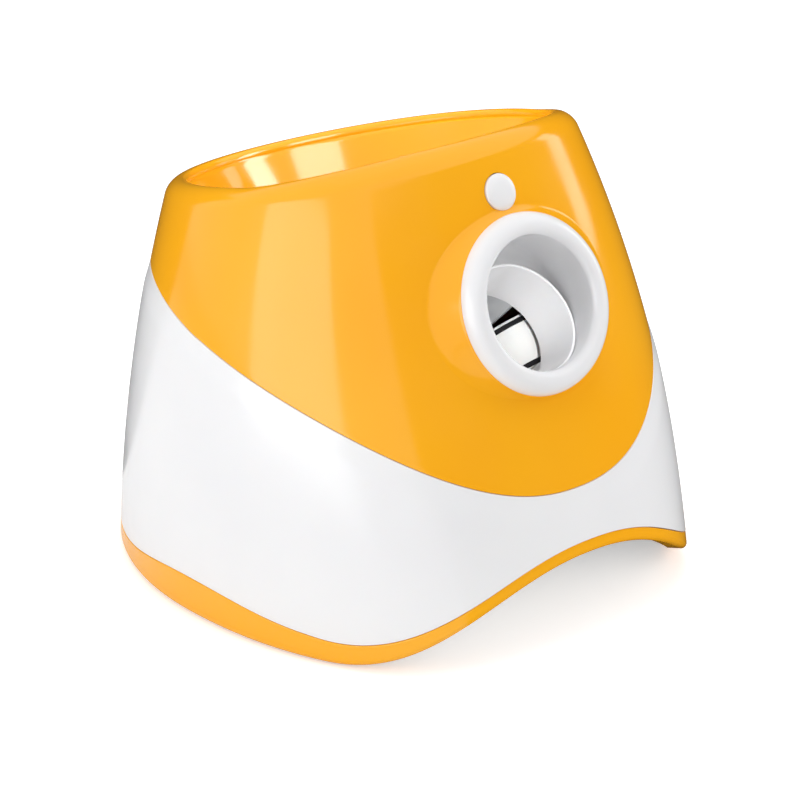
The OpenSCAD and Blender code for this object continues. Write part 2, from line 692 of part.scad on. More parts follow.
module launch_tube() {
    front = muzzle_length + 0.2;
    window = 2 * (wheel_radius + band_proud + window_clearance);
    window_height = wheel_height + 2 * window_clearance;
    color(pale) difference() {
        union() {
            at_muzzle() translate([0, 0, -tube_end]) cylinder(r = tube_radius, h = tube_end - front);
            across_tube(0, 0, throat_length - 3, ball_station, throat_radius + tube_wall);
        }
        at_muzzle() translate([0, 0, -tube_end + tube_wall]) cylinder(r = bore_radius, h = big / 4);
        across_tube(0, 0, throat_length + 1, ball_station, throat_radius);
        // a window for each wheel, open towards the muzzle
        for (side = [-1, 1]) {
            across_tube(side * wheel_x, -window_height / 2, window_height / 2, wheel_station, window / 2);
            at_muzzle() translate([side * wheel_x - window / 2, -window_height / 2, -wheel_station])
                cube([window, window_height, wheel_station]);
        }
        // slot for the rack bar through the rear wall
        at_muzzle() translate([-rack_side / 2 - 1, -rack_side / 2 - 1, -tube_end - 1])
            cube([rack_side + 2, rack_side + 2, tube_wall + 2]);
        at_muzzle() translate([0, 0, -sensor_station]) rotate([0, 90, 0])
            cylinder(r = sensor_radius + fit_gap, h = big / 2, center = true);
    }
}
sensor_station = ball_station + 8;
sensor_radius = 2.5;
module ball_sensors() {
    color("dimgray") at_muzzle() for (side = [-1, 1])
        translate([side * (bore_radius + 0.4), 0, -sensor_station]) rotate([0, side * 90, 0]) {
            cylinder(r = sensor_radius, h = 6);
            translate([0, 0, 3]) cylinder(r = sensor_radius + 1, h = 3);
        }
}
module throat_seal() {
    color("dimgray") at_muzzle() translate([0, 0, -ball_station]) rotate([-90, 0, 0]) difference() {
        translate([0, 0, throat_length - 3 + fit_gap]) cylinder(r = throat_radius + tube_wall, h = 3 - 2 * fit_gap);
        cylinder(r = throat_radius, h = throat_length + 1);
    }
}

// ---- throwing wheels and motors ----
module wheel(side) {
    bore = shaft_radius;
    flange_radius = 7;
    half = wheel_height / 2;
    band_low = band_offset - band_height / 2;
    band_high = band_offset + band_height / 2;
    groove = wheel_radius - band_groove;
    half_profile = [[wheel_radius, band_low], [groove, band_low], [groove, band_high],
        [wheel_radius, band_high], [wheel_radius, half - 0.6], [wheel_radius - 0.6, half],
        [wheel_radius - 3, half], [wheel_radius - 3, half - 8], [flange_radius, half - 8],
        [flange_radius, half - 2], [bore, half - 2]];
    mirrored = [for (i = [len(half_profile) - 1 : -1 : 0]) [half_profile[i][0], -half_profile[i][1]]];
    color("white") at_muzzle() translate([side * wheel_x, 0, -wheel_station]) rotate([-90, 0, 0])
        rotate_extrude() polygon(concat(half_profile, mirrored));
}
module left_wheel() { wheel(-1); }
module right_wheel() { wheel(1); }
module wheel_bands(side) {
    color("black") at_muzzle() translate([side * wheel_x, 0, -wheel_station]) rotate([-90, 0, 0])
        for (level = [-1, 1]) translate([0, 0, level * band_offset - band_height / 2 + 0.02]) difference() {
            cylinder(r = wheel_radius + band_proud, h = band_height - 0.04);
            translate([0, 0, -1]) cylinder(r = wheel_radius - band_groove, h = band_height + 2);
        }
}
module left_wheel_bands() { wheel_bands(-1); }
module right_wheel_bands() { wheel_bands(1); }
module motor_shaft(side) {
    color("silver") across_tube(side * wheel_x, motor_face - 6, wheel_height / 2 - 1, wheel_station, shaft_radius);
}
module left_motor_shaft() { motor_shaft(-1); }
module right_motor_shaft() { motor_shaft(1); }
module motor(side) {
    plate_top = motor_face - frame_wall;
    color("lightgray") difference() {
        union() {
            across_tube(side * wheel_x, plate_top - motor_length, plate_top, wheel_station, motor_radius);
            across_tube(side * wheel_x, plate_top - 1, plate_top + motor_boss_height, wheel_station,
                motor_boss_radius);
            across_tube(side * wheel_x, plate_top - motor_length - 3, plate_top - motor_length + 1,
                wheel_station, motor_boss_radius);
        }
        across_tube(side * wheel_x, motor_face - 8, plate_top + motor_boss_height + 1, wheel_station,
            shaft_radius + running_clearance);
        for (spot = [-1, 1])
            across_tube(side * wheel_x + spot * motor_screw_pitch / 2, plate_top - 4, plate_top + 1,
                wheel_station, motor_screw_radius);
    }
}
module left_motor() { motor(-1); }
module right_motor() { motor(1); }
motor_screw_pitch = 16;
motor_screw_radius = 1.25;
module motor_screws() {
    plate_top = motor_face - frame_wall;
    color("silver") for (side = [-1, 1]) for (spot = [-1, 1]) {
        x = side * wheel_x + spot * motor_screw_pitch / 2;
        across_tube(x, plate_top - 3.5, motor_face + 0.01, wheel_station, motor_screw_radius);
        across_tube(x, motor_face, motor_face + 1.4, wheel_station, motor_screw_radius + 1.1);
    }
}
// cradle under the tube with a wing for each motor and two legs to the base plate
module drive_frame() {
    cradle_front = wheel_station - 24;
    cradle_rear = tube_end - 4;
    wing_half = motor_radius + 5;
    leg_width = 4;
    leg_lean = 20;
    leg_heel = 18;
    color("gray") difference() {
        union() {
            at_muzzle() translate([0, 0, -cradle_rear])
                cylinder(r = tube_radius + fit_gap + frame_wall, h = cradle_rear - cradle_front);
            at_muzzle() translate([-wheel_x - wing_half, motor_face - frame_wall, -wheel_station - wing_half])
                cube([2 * (wheel_x + wing_half), frame_wall, 2 * wing_half]);
            intersection() {
                for (side = [-1, 1]) translate([side * leg_x - leg_width / 2, 0, 0]) rotate([90, 0, 90])
                    linear_extrude(leg_width) polygon([[leg_front, leg_low], [leg_rear, leg_low],
                        [leg_rear, muzzle_z / 2], [leg_front - leg_lean, muzzle_z],
                        [leg_front - leg_lean, leg_low + leg_heel]]);
                at_muzzle() translate([-big / 2, -big - tube_radius / 2, -big]) cube(big);
            }
            for (side = [-1, 1]) translate([side * (leg_x + 5) - 8, leg_front, leg_low])
                cube([16, leg_rear - leg_front, frame_wall]);
        }
        at_muzzle() translate([0, 0, -big / 2]) cylinder(r = tube_radius + fit_gap, h = big);
        // the cradle is open above the wings
        at_muzzle() translate([-tube_radius - 10, motor_face + 0.02, -big / 2]) cube([2 * tube_radius + 20, big, big]);
        for (side = [-1, 1]) {
            across_tube(side * wheel_x, motor_face - 20, motor_face + 10, wheel_station,
                motor_boss_radius + fit_gap);
            for (spot = [-1, 1])
                across_tube(side * wheel_x + spot * motor_screw_pitch / 2, motor_face - 10, motor_face + 5,
                    wheel_station, motor_screw_radius + 0.1);
            for (spot = frame_screw_y) translate([side * frame_screw_x, spot, leg_low - 1])
                cylinder(r = screw_radius + fit_gap, h = frame_wall + 2);
        }
    }
}
leg_low = plate_low + plate_thickness;
leg_x = 20;
frame_screw_x = leg_x + 7;
leg_front = -42;
leg_rear = 2;
frame_screw_y = [leg_front + 5, leg_rear - 5];
module frame_screws() {
    color("silver") for (side = [-1, 1]) for (spot = frame_screw_y)
        translate([side * frame_screw_x, spot, leg_low - plate_thickness + 0.4]) {
            cylinder(r = screw_radius, h = plate_thickness + frame_wall);
            translate([0, 0, plate_thickness + frame_wall - 0.4 + fit_gap]) cylinder(r = 2.6, h = 1.8);
        }
}

// ---- ball feeder ----
pitch_radius = gear_module * pinion_teeth / 2;
rack_pitch_y = rack_side / 2 - gear_module;
pinion_y = rack_pitch_y + pitch_radius;
guide_length = 6;
pinion_station = tube_end + guide_length + pitch_radius + 2.5;
rack_rear = pinion_station + plunger_travel + 8;
pressure = 20;
tooth_pitch = PI * gear_module;
module rack_teeth() {
    reach = 0.92 * gear_module;
    root = 1.2 * gear_module;
    half = tooth_pitch / 4 - gear_play / 4;
    first = -ceil((plunger_travel + 8) / tooth_pitch);
    last = ceil(8 / tooth_pitch);
    for (i = [first : last - 1]) let (middle = (i + 0.5) * tooth_pitch)
        translate([0, 0, middle - pinion_station]) rotate([0, -90, 0])
            linear_extrude(rack_side - 2, center = true) polygon([
                [-half - root * tan(pressure), rack_pitch_y - root],
                [-half + reach * tan(pressure), rack_pitch_y + reach],
                [half - reach * tan(pressure), rack_pitch_y + reach],
                [half + root * tan(pressure), rack_pitch_y - root]]);
}
module feed_plunger() {
    color(pale) at_muzzle() {
        translate([0, 0, -head_back]) cylinder(r = plunger_radius, h = plunger_head - 1.5);
        translate([-rack_side / 2, -rack_side / 2, -rack_rear])
            cube([rack_side, rack_side / 2 + rack_pitch_y - 1.2 * gear_module, rack_rear - head_back + 1]);
        rack_teeth();
    }
}
module plunger_pad() {
    color("dimgray") at_muzzle() translate([0, 0, -rest_face - 1.5]) cylinder(r = plunger_radius, h = 1.5);
}
module feed_guide() {
    outer = rack_side + 6;
    low = -rack_side / 2 - 3;
    station = tube_end + 0.3;
    length = guide_length;
    web = 4;
    web_reach = 60;
    color("gray") difference() {
        union() {
            at_muzzle() translate([-outer / 2, low, -station - length]) cube([outer, outer, length]);
            at_muzzle() translate([-outer / 2, low, -rack_rear - 2])
                cube([outer, 3 - slide_clearance, rack_rear + 2 - station]);
            intersection() {
                translate([-web / 2, 0, plate_low + plate_thickness]) cube([web, web_reach, muzzle_z]);
                at_muzzle() translate([-10, -big, -rack_rear]) cube([20, big + low + 1, rack_rear - station]);
            }
        }
        at_muzzle() translate([-rack_side / 2 - slide_clearance, -rack_side / 2 - slide_clearance, -station - length - 1])
            cube([rack_side + 2 * slide_clearance, rack_side + 2 * slide_clearance, length + 2]);
    }
}
// involute flank angle at a radius, in degrees
function flank(radius, base) = let (a = acos(min(1, base / radius))) tan(a) * 180 / PI - a;
module feed_pinion() {
    base = pitch_radius * cos(pressure);
    root = pitch_radius - 1.2 * gear_module;
    tip = pitch_radius + 0.92 * gear_module;
    half_pitch = 90 / pinion_teeth - gear_play / 4 / pitch_radius * 180 / PI;
    at_base = half_pitch + flank(pitch_radius, base);
    radii = [for (i = [0 : 5]) between(base, tip, i, 5)];
    outline = [for (tooth = [0 : pinion_teeth - 1]) let (middle = tooth * 360 / pinion_teeth)
        for (p = concat([[root, -at_base * 0.92]], [for (r = radii) [r, -at_base + flank(r, base)]],
            [for (i = [5 : -1 : 0]) [radii[i], at_base - flank(radii[i], base)]], [[root, at_base * 0.92]]))
        [p[0] * cos(middle + p[1]), p[0] * sin(middle + p[1])]];
    color(pale) at_muzzle() translate([0, pinion_y, -pinion_station]) rotate([0, -90, 0]) difference() {
        linear_extrude(pinion_face, center = true) rotate([0, 0, -90]) polygon(outline);
        cylinder(r = pinion_bore, h = pinion_face + 2, center = true);
    }
}
pinion_bore = 2.5;
shaft_end = 3;
shaft_bearing = 9;
module pinion_shaft() {
    color("silver") at_muzzle() translate([-pinion_face / 2 - shaft_end, pinion_y, -pinion_station])
        rotate([0, 90, 0]) cylinder(r = pinion_bore, h = pinion_face + shaft_end + shaft_bearing);
}
module feed_gearmotor() {
    box_x = rack_side / 2 + 3.3;
    box = [12, 22, 30];
    box_front = 11;
    can_radius = 8;
    can_length = 22;
    can_behind = 8;
    foot = [4, pinion_y, 12];
    color("lightgray") difference() {
        union() {
            at_muzzle() translate([box_x, pinion_y - box[1] / 2, -pinion_station + box_front - box[2]]) cube(box);
            at_muzzle() translate([box_x + box[0], pinion_y, -pinion_station - can_behind]) rotate([0, 90, 0])
                cylinder(r = can_radius, h = can_length);
            at_muzzle() translate([box_x, -rack_side / 2 - 3, -pinion_station - foot[2] / 2]) cube(foot);
        }
        at_muzzle() translate([0, pinion_y, -pinion_station]) rotate([0, 90, 0])
            cylinder(r = pinion_bore + running_clearance, h = box_x + shaft_bearing);
    }
}

// ---- push button ----
module front_button() {
    crown = 1.4;
    color("white") at_button() rotate_extrude() polygon(concat(
        [[0, button_floor + button_travel + 0.3], [2, button_floor + button_travel + 0.3], [2, -4],
         [button_radius, -4], [button_radius, button_proud - crown]],
        [for (a = [15 : 15 : 90]) [button_radius * cos(a), button_proud - crown + crown * sin(a)]]));
}
module button_switch() {
    color("dimgray") at_button() translate([0, 0, button_board_top]) {
        translate([-3, -3, 0]) cube([6, 6, switch_height - 0.8]);
        cylinder(r = 1.7, h = switch_height);
    }
}
module button_board() {
    length = 2 * button_screw_x + 5;
    width = 20;
    color("seagreen") at_button() translate([0, 0, button_board_top - board_thickness]) difference() {
        translate([-length / 2, -width / 2, 0]) cube([length, width, board_thickness]);
        for (side = [-1, 1]) translate([side * button_screw_x, 0, -1])
            cylinder(r = button_screw_radius + fit_gap, h = board_thickness + 2);
    }
}
module button_screws() {
    color("silver") at_button() for (side = [-1, 1])
        translate([side * button_screw_x, 0, button_board_top - board_thickness]) {
            translate([0, 0, -1.2]) cylinder(r = 2, h = 1.2);
            cylinder(r = button_screw_radius, h = 6);
        }
}

// ---- electronics ----
board_low = plate_low + plate_thickness + 8;
board_x = board_inset - floor_half_width;
board_screw_radius = 1.2;
board_spots = [for (sx = [-1, 1]) for (sy = [-1, 1])
    [board_x + sx * (board_width / 2 - 4), board_y + sy * (board_length / 2 - 4)]];
module control_board() {
    color("seagreen") difference() {
        translate([board_x - board_width / 2, board_y - board_length / 2, board_low])
            cube([board_width, board_length, board_thickness]);
        for (spot = board_spots) translate([spot[0], spot[1], board_low - 1])
            cylinder(r = board_screw_radius + 0.2, h = board_thickness + 2);
    }
}
module board_parts() {
    top = board_low + board_thickness;
    chip = [12, 12, 2];
    relay = [8, 12, 7];
    plug = [7, 6, 6];
    plug_pitch = 9;
    plug_edge = 5;
    part_gap = 3;
    capacitor_radius = 3.4;
    capacitor_height = 9;
    capacitor_pitch = 9;
    row_x = board_x - board_width / 3;
    color("dimgray") {
        translate([board_x - chip[0] / 2, board_y - chip[1] / 2, top]) cube(chip);
        translate([row_x, board_y + relay[1], top]) cube(relay);
        for (i = [0 : 1])
            translate([board_x + relay[0] / 2, board_y + relay[1] + part_gap - capacitor_pitch * i, top])
                cylinder(r = capacitor_radius, h = capacitor_height);
        for (i = [0 : 2]) translate([row_x + plug_pitch * i, board_y - board_length / 2 + plug_edge, top])
            cube(plug);
    }
}
module board_screws() {
    color("silver") for (spot = board_spots) translate([spot[0], spot[1], 0]) {
        translate([0, 0, board_low + board_thickness]) cylinder(r = 2.2, h = 1.3);
        translate([0, 0, board_low - 6]) cylinder(r = board_screw_radius, h = 6 + board_thickness + 0.1);
    }
}
module buzzer() {
    color("black") translate([board_x + 12, board_y - 10, board_low + board_thickness]) difference() {
        cylinder(r = 6, h = 6);
        translate([0, 0, 5]) cylinder(r = 1, h = 2);
    }
}
module power_inlet() {
    body = 12;
    color("black") translate([0, 0, inlet_height]) difference() {
        union() {
            translate([0, inlet_face - inlet_boss - body, 0]) rotate([-90, 0, 0])
                cylinder(r = inlet_radius, h = inlet_boss + body - inlet_flange);
            translate([0, inlet_face - inlet_flange, 0]) rotate([-90, 0, 0])
                cylinder(r = inlet_radius + 1.9, h = inlet_flange);
        }
        translate([0, inlet_face - 10, 0]) rotate([-90, 0, 0]) cylinder(r = 3.2, h = 11);
    }
}
module inlet_nut() {
    color("silver") translate([0, inlet_face - inlet_boss - 3, inlet_height]) rotate([-90, 0, 0]) difference() {
        cylinder(r = inlet_radius + 3, h = 2.8, $fn = 6);
        translate([0, 0, -1]) cylinder(r = inlet_radius + fit_gap, h = 5);
    }
}
module case_screws() {
    color("silver") for (side = [-1, 1]) for (post = case_posts) translate([side * post[0], post[1], 0]) {
        translate([0, 0, plate_low + plate_thickness / 2 - 2.4]) cylinder(r = screw_head_radius, h = 2.4);
        translate([0, 0, plate_low + plate_thickness / 2 - 0.1]) cylinder(r = screw_radius, h = post_top + 8 - plate_low);
    }
}

upper_shell();
hopper_bowl();
lower_shell();
base_trim();
base_plate();
foot_pads();
battery_door();
battery_tray();
battery_cells();
battery_springs();
battery_contacts();
port_bezel();
muzzle_tube();
launch_tube();
throat_seal();
drive_frame();
left_wheel();
right_wheel();
left_wheel_bands();
right_wheel_bands();
left_motor_shaft();
right_motor_shaft();
left_motor();
right_motor();
motor_screws();
feed_plunger();
plunger_pad();
feed_guide();
feed_pinion();
pinion_shaft();
feed_gearmotor();
ball_sensors();
front_button();
button_board();
button_switch();
button_screws();
control_board();
board_parts();
board_screws();
buzzer();
power_inlet();
inlet_nut();
case_screws();
frame_screws();
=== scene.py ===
"""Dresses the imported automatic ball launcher: its glossy case, port, wheels, feet and small parts."""
import logging
import math
from dataclasses import dataclass
from enum import Enum
from typing import Any

import bmesh
import bpy
import numpy as np
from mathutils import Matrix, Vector


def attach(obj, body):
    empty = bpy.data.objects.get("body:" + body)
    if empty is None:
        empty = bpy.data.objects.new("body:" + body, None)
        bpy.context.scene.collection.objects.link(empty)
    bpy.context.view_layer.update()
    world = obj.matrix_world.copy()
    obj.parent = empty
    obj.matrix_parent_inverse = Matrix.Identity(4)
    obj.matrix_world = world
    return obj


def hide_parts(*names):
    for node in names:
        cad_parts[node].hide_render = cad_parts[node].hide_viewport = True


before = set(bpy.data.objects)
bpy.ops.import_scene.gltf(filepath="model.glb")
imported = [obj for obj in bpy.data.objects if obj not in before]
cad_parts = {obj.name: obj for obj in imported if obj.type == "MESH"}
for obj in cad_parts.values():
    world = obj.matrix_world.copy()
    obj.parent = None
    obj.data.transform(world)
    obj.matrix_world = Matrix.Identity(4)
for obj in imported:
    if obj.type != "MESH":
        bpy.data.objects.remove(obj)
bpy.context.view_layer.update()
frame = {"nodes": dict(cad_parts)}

Array = np.ndarray
Pair = tuple[float, float]
Triple = tuple[float, float, float]
Quad = tuple[float, float, float, float]
Tree = bpy.types.NodeTree
Socket = bpy.types.NodeSocket
Object = bpy.types.Object

log = logging.getLogger("ball_launcher")
MM = 0.001
SHARP_ANGLE = math.radians(38)
CARRIED_SHARP_ANGLE = SHARP_ANGLE / 1.5
# Nearer points are merged and shorter edges dissolved, in metres; carried-over nodes are coarser.
MERGE_DISTANCE, SHORTEST_EDGE, CARRIED_MERGE = 1e-7, 1e-8, 1e-6
# Most of a soft noise's values lie in the first span; the colour's patches end a little sharper.
NOISE_SPAN, PATCH_SPAN = (0.3, 0.7), (0.35, 0.65)
# How far red, green and blue scatter in a plastic, as shares of the scatter length.
SCATTER_SHARES = (1.0, 0.6, 0.4)
# Height in mm and tilt in degrees of the port's and the button's frames.
PORT_HEIGHT, PORT_TILT = 162.7, 22.7
BUTTON_HEIGHT, BUTTON_TILT = 214.0, 24.7148
# The launch frame lies this far under the port's axis and behind its origin, at its own tilt.
LAUNCH_UNDER, LAUNCH_BEHIND, LAUNCH_TILT = 6.5, 9.2, 43.0


# ---------------------------------------------------------------- colours and shader nodes


def linear(hex_colour: str) -> Quad:
    """Turns an sRGB hex colour to Blender's linear values.

    Args:
        hex_colour: Six hex digits.

    Returns:
        Linear red, green, blue and an alpha of 1.
    """
    parts = np.array([int(hex_colour[i : i + 2], 16) / 255 for i in (0, 2, 4)])
    values = np.where(parts <= 0.04045, parts / 12.92, ((parts + 0.055) / 1.055) ** 2.4)
    return (*values.tolist(), 1.0)


def add_node(tree: Tree, kind: str, inputs: dict[Any, Any] | None = None, **settings: Any) -> bpy.types.Node:
    """Adds one node with its settings and links.

    Args:
        tree: Node tree to add to.
        kind: The node's type name.
        inputs: Socket name or number to a value, or to an output socket to link from.
        **settings: Attributes of the node.

    Returns:
        The new node.
    """
    node = tree.nodes.new(kind)
    for key, value in settings.items():
        setattr(node, key, value)
    for key, value in (inputs or {}).items():
        if isinstance(value, Socket):
            tree.links.new(value, node.inputs[key])
        else:
            node.inputs[key].default_value = value
    return node


def fresh_tree(owner: bpy.types.Material | bpy.types.World) -> Tree:
    """Turns on the nodes of a material or a world and returns them empty."""
    owner.use_nodes = True
    owner.node_tree.nodes.clear()
    return owner.node_tree


class Grain(Enum):
    """How a surface was made; its value is the relief's stretch along Z and its finer layers."""

    POLISHED = (1.0, 0.0)
    SPARK_ERODED = (1.0, 3.0)
    BRUSHED = (0.04, 3.0)


@dataclass(frozen=True)
class Finish:
    """One material, from what it is made of and how its surface was made.

    Attributes:
        name: Common name of the material.
        colour: sRGB hex of the body colour.
        shade: sRGB hex that the body colour drifts towards.
        grain: How the surface was made.
        roughness: Typical roughness.
        swing: How far flow lines and handling move the roughness.
        ior: Index of refraction, typical for the material.
        metallic: 1 for a bare metal.
        drift_mm: Size of the patches in which the colour drifts.
        relief_mm: Spacing of the fine relief, coarser than life where life is too fine to show.
        depth_mm: Depth of the fine relief.
        glow: Share of the light that scatters inside the plastic.
        scatter_mm: How far it scatters.
    """

    name: str
    colour: str
    shade: str
    grain: Grain = Grain.POLISHED
    roughness: float = 0.2
    swing: float = 0.03
    ior: float = 1.5
    metallic: float = 0.0
    drift_mm: float = 60.0
    relief_mm: float = 9.0
    depth_mm: float = 0.01
    glow: float = 0.0
    scatter_mm: float = 2.0

    def material(self) -> bpy.types.Material:
        """Builds the material once, and returns it.

        The body colour drifts between colour and shade with a soft noise, a second noise moves the
        roughness, and a third one is the fine relief of the surface.

        Returns:
            The Blender material.
        """
        known = bpy.data.materials.get(self.name)
        if known:
            return known
        material = bpy.data.materials.new(self.name)
        material.diffuse_color = linear(self.colour)
        tree = fresh_tree(material)
        place = add_node(tree, "ShaderNodeTexCoord").outputs["Object"]
        values: dict[Any, Any] = {
            "Base Color": self.body_colour(tree, place),
            "Roughness": self.worn_roughness(tree, place),
            "Normal": self.fine_relief(tree, place),
            "Metallic": self.metallic,
        }
        if not self.metallic:
            values["IOR"] = self.ior
        if self.glow:
            values |= {"Subsurface Weight": self.glow, "Subsurface Radius": SCATTER_SHARES,
                       "Subsurface Scale": self.scatter_mm * MM}
        shader = add_node(tree, "ShaderNodeBsdfPrincipled", values)
        add_node(tree, "ShaderNodeOutputMaterial", {"Surface": shader.outputs[0]})
        return material

    def noise(self, tree: Tree, place: Socket, size_mm: float, detail: float) -> Socket:
        """Returns a soft noise whose patches have the given size.

        Args:
            tree: The material's node tree.
            place: Coordinates to read.
            size_mm: Size of a patch.
            detail: How many finer layers the noise has.

        Returns:
            The noise's value, about 0.5 on average.
        """
        node = add_node(tree, "ShaderNodeTexNoise",
                        {"Vector": place, "Scale": 1 / (size_mm * MM), "Detail": detail})
        return node.outputs[0]

    def body_colour(self, tree: Tree, place: Socket) -> Socket:
        """Mixes the colour and its shade in soft patches."""
        ramp = add_node(tree, "ShaderNodeValToRGB", {"Fac": self.noise(tree, place, self.drift_mm, 2.0)})
        low, high = ramp.color_ramp.elements
        low.position, high.position = PATCH_SPAN
        low.color, high.color = linear(self.colour), linear(self.shade)
        return ramp.outputs["Color"]

    def worn_roughness(self, tree: Tree, place: Socket) -> Socket:
        """Moves the roughness a little with flow lines and handling."""
        low, high = NOISE_SPAN
        spread = add_node(tree, "ShaderNodeMapRange", {
            "Value": self.noise(tree, place, self.drift_mm / 4, 4.0), "From Min": low, "From Max": high,
            "To Min": self.roughness - self.swing, "To Max": self.roughness + self.swing})
        return spread.outputs["Result"]

    def fine_relief(self, tree: Tree, place: Socket) -> Socket:
        """Makes the surface's fine relief, stretched along the grain."""
        stretch, layers = self.grain.value
        stretched = add_node(tree, "ShaderNodeMapping", {"Vector": place, "Scale": (1.0, 1.0, stretch)})
        height = self.noise(tree, stretched.outputs[0], self.relief_mm, layers)
        bump = add_node(tree, "ShaderNodeBump",
                        {"Strength": 1.0, "Distance": self.depth_mm * MM, "Height": height})
        return bump.outputs["Normal"]


# Polished ABS from a mirror-finished mould: sharp soft-box reflections with a faint swell in them.
AMBER_ABS = Finish("glossy_amber_abs", "FFB41E", "FEAF17", roughness=0.13, ior=1.48, drift_mm=90,
                   relief_mm=26, depth_mm=0.03)
# The same moulding in white, a little softer, with light scattering just under the surface.
WHITE_ABS = Finish("glossy_white_abs", "F1F1F2", "EDEDEF", roughness=0.2, ior=1.48, drift_mm=90,
                   relief_mm=26, depth_mm=0.03, glow=0.06)
# Spark-eroded underside panels: a dull, finely pitted skin that hides scuffs.
TEXTURED_ABS = Finish("textured_white_abs", "E2E2E1", "DADAD8", Grain.SPARK_ERODED, 0.55, 0.06,
                      relief_mm=0.7, depth_mm=0.03, drift_mm=40)
# Satin polypropylene of the launch tube, light grey and slightly waxy.
SATIN_PP = Finish("satin_grey_polypropylene", "C9CBCD", "BFC2C5", Grain.SPARK_ERODED, 0.38, 0.05,
                  relief_mm=1.2, depth_mm=0.015, drift_mm=30, glow=0.05)
# Glass-filled nylon of the drive frame and the plunger's guide: dark, with fibres that dull the skin.
FILLED_NYLON = Finish("glass_filled_nylon", "5A5D61", "4E5155", Grain.SPARK_ERODED, 0.5, 0.08,
                      relief_mm=0.9, depth_mm=0.04, drift_mm=12)
# Acetal of the drums, the rack and the pinion: white, hard and shiny from rubbing.
ACETAL = Finish("white_acetal", "F2F2F1", "ECECEA", roughness=0.16, ior=1.48, drift_mm=30,
                relief_mm=8, depth_mm=0.01, glow=0.08)
# Moulded natural rubber of the wheels' bands: matt black with a dusty bloom.
BLACK_RUBBER = Finish("black_rubber", "17171A", "232326", Grain.SPARK_ERODED, 0.62, 0.1,
                      relief_mm=0.6, depth_mm=0.04, drift_mm=8)
# Moulded dark grey rubber of the feet, the throat's seal and the plunger's pad: duller still.
GREY_RUBBER = Finish("dark_grey_rubber", "3A3B3E", "47484B", Grain.SPARK_ERODED, 0.7, 0.08,
                     relief_mm=0.8, depth_mm=0.05, drift_mm=9)
# Zinc-plated steel of screws, shafts and springs: bright, turned along its length.
PLATED_STEEL = Finish("zinc_plated_steel", "C4C6C9", "AEB2B8", Grain.BRUSHED, 0.28, 0.08, metallic=1.0,
                      relief_mm=0.4, depth_mm=0.01, drift_mm=5)
# Drawn and plated motor cans: softer than a turned shaft.
PLATED_CAN = Finish("plated_motor_can", "B9BCC0", "A6AAB0", Grain.BRUSHED, 0.34, 0.07, metallic=1.0,
                    relief_mm=0.8, depth_mm=0.01, drift_mm=10)
# A plain printed jacket on the cells, with no words on it.
CELL_JACKET = Finish("printed_cell_jacket", "B48A3C", "A37A30", roughness=0.3, metallic=1.0, drift_mm=12)
# Green solder mask over fibreglass.
SOLDER_MASK = Finish("green_solder_mask", "1F5B3A", "2A6E48", Grain.SPARK_ERODED, 0.32, 0.06,
                     relief_mm=1.5, depth_mm=0.03, drift_mm=3)
# Black engineering plastic of the inlet, the switch, the board's parts, the sensors and the battery tray.
BLACK_PLASTIC = Finish("black_moulded_plastic", "1C1D1F", "26272A", Grain.SPARK_ERODED, 0.42, 0.08,
                       relief_mm=0.8, depth_mm=0.03, drift_mm=10)


# ---------------------------------------------------------------- surfaces


def ease(value: Array) -> Array:
    """Rises from 0 to 1 with flat ends, as 3v squared less 2v cubed."""
    clipped = np.clip(value, 0, 1)
    return clipped * clipped * (3 - 2 * clipped)


def bell(value: Array, width: float) -> Array:
    """A bell of height 1, as e to the minus (value / width) squared."""
    return np.exp(-((value / width) ** 2))


def arc(count: int, start: float = 0.0, end: float = 90.0) -> Array:
    """Angles in radians along an arc given in degrees, as a column."""
    return np.radians(np.linspace(start, end, count))[:, None]


def quarter(radius: float, count: int) -> tuple[Array, Array]:
    """The two columns of a quarter round: radius (1 - cos), which grows, and radius (1 - sin)."""
    turn = arc(count)
    return radius * (1 - np.cos(turn)), radius * (1 - np.sin(turn))


def soften(corners: list[tuple[float, float, float]], steps: int = 6) -> Array:
    """Rounds the corners of a closed outline.

    Each corner is replaced by a curve that leaves its two sides at the corner's radius and is pulled
    to the corner: (1 - t)^2 a + 2 t (1 - t) p + t^2 b.

    Args:
        corners: Radius from the axis, height and rounding of each corner.
        steps: Points in each rounded corner, less one.

    Returns:
        Points of the outline, in two columns.
    """
    data = np.array(corners, float)
    points, reach = data[:, :2], data[:, 2]
    before, after = np.roll(points, 1, 0) - points, np.roll(points, -1, 0) - points
    lengths = [np.linalg.norm(side, axis=1) for side in (before, after)]
    reach = np.minimum(reach, 0.48 * np.minimum(*lengths))
    start, end = (points + side / length[:, None] * reach[:, None]
                  for side, length in zip((before, after), lengths))
    t = np.linspace(0, 1, steps + 1)[None, :, None]
    curves = (1 - t) ** 2 * start[:, None] + 2 * t * (1 - t) * points[:, None] + t**2 * end[:, None]
    flat = curves.reshape(-1, 2)
    moved = np.linalg.norm(flat - np.roll(flat, 1, 0), axis=1) > 1e-6
    return flat[moved]


def revolve(profile: Array, sides: int = 96) -> Array:
    """Turns an outline of radius and height round Z.

    Args:
        profile: Radius and height of each point, in two columns.
        sides: Columns round the axis.

    Returns:
        Grid of points, one row per point of the outline.
    """
    turn = np.linspace(0, 2 * np.pi, sides, endpoint=False)[None, :]
    radius, height = profile[:, :1], profile[:, 1:]
    return np.stack([radius * np.cos(turn), radius * np.sin(turn), height + 0 * turn], -1)


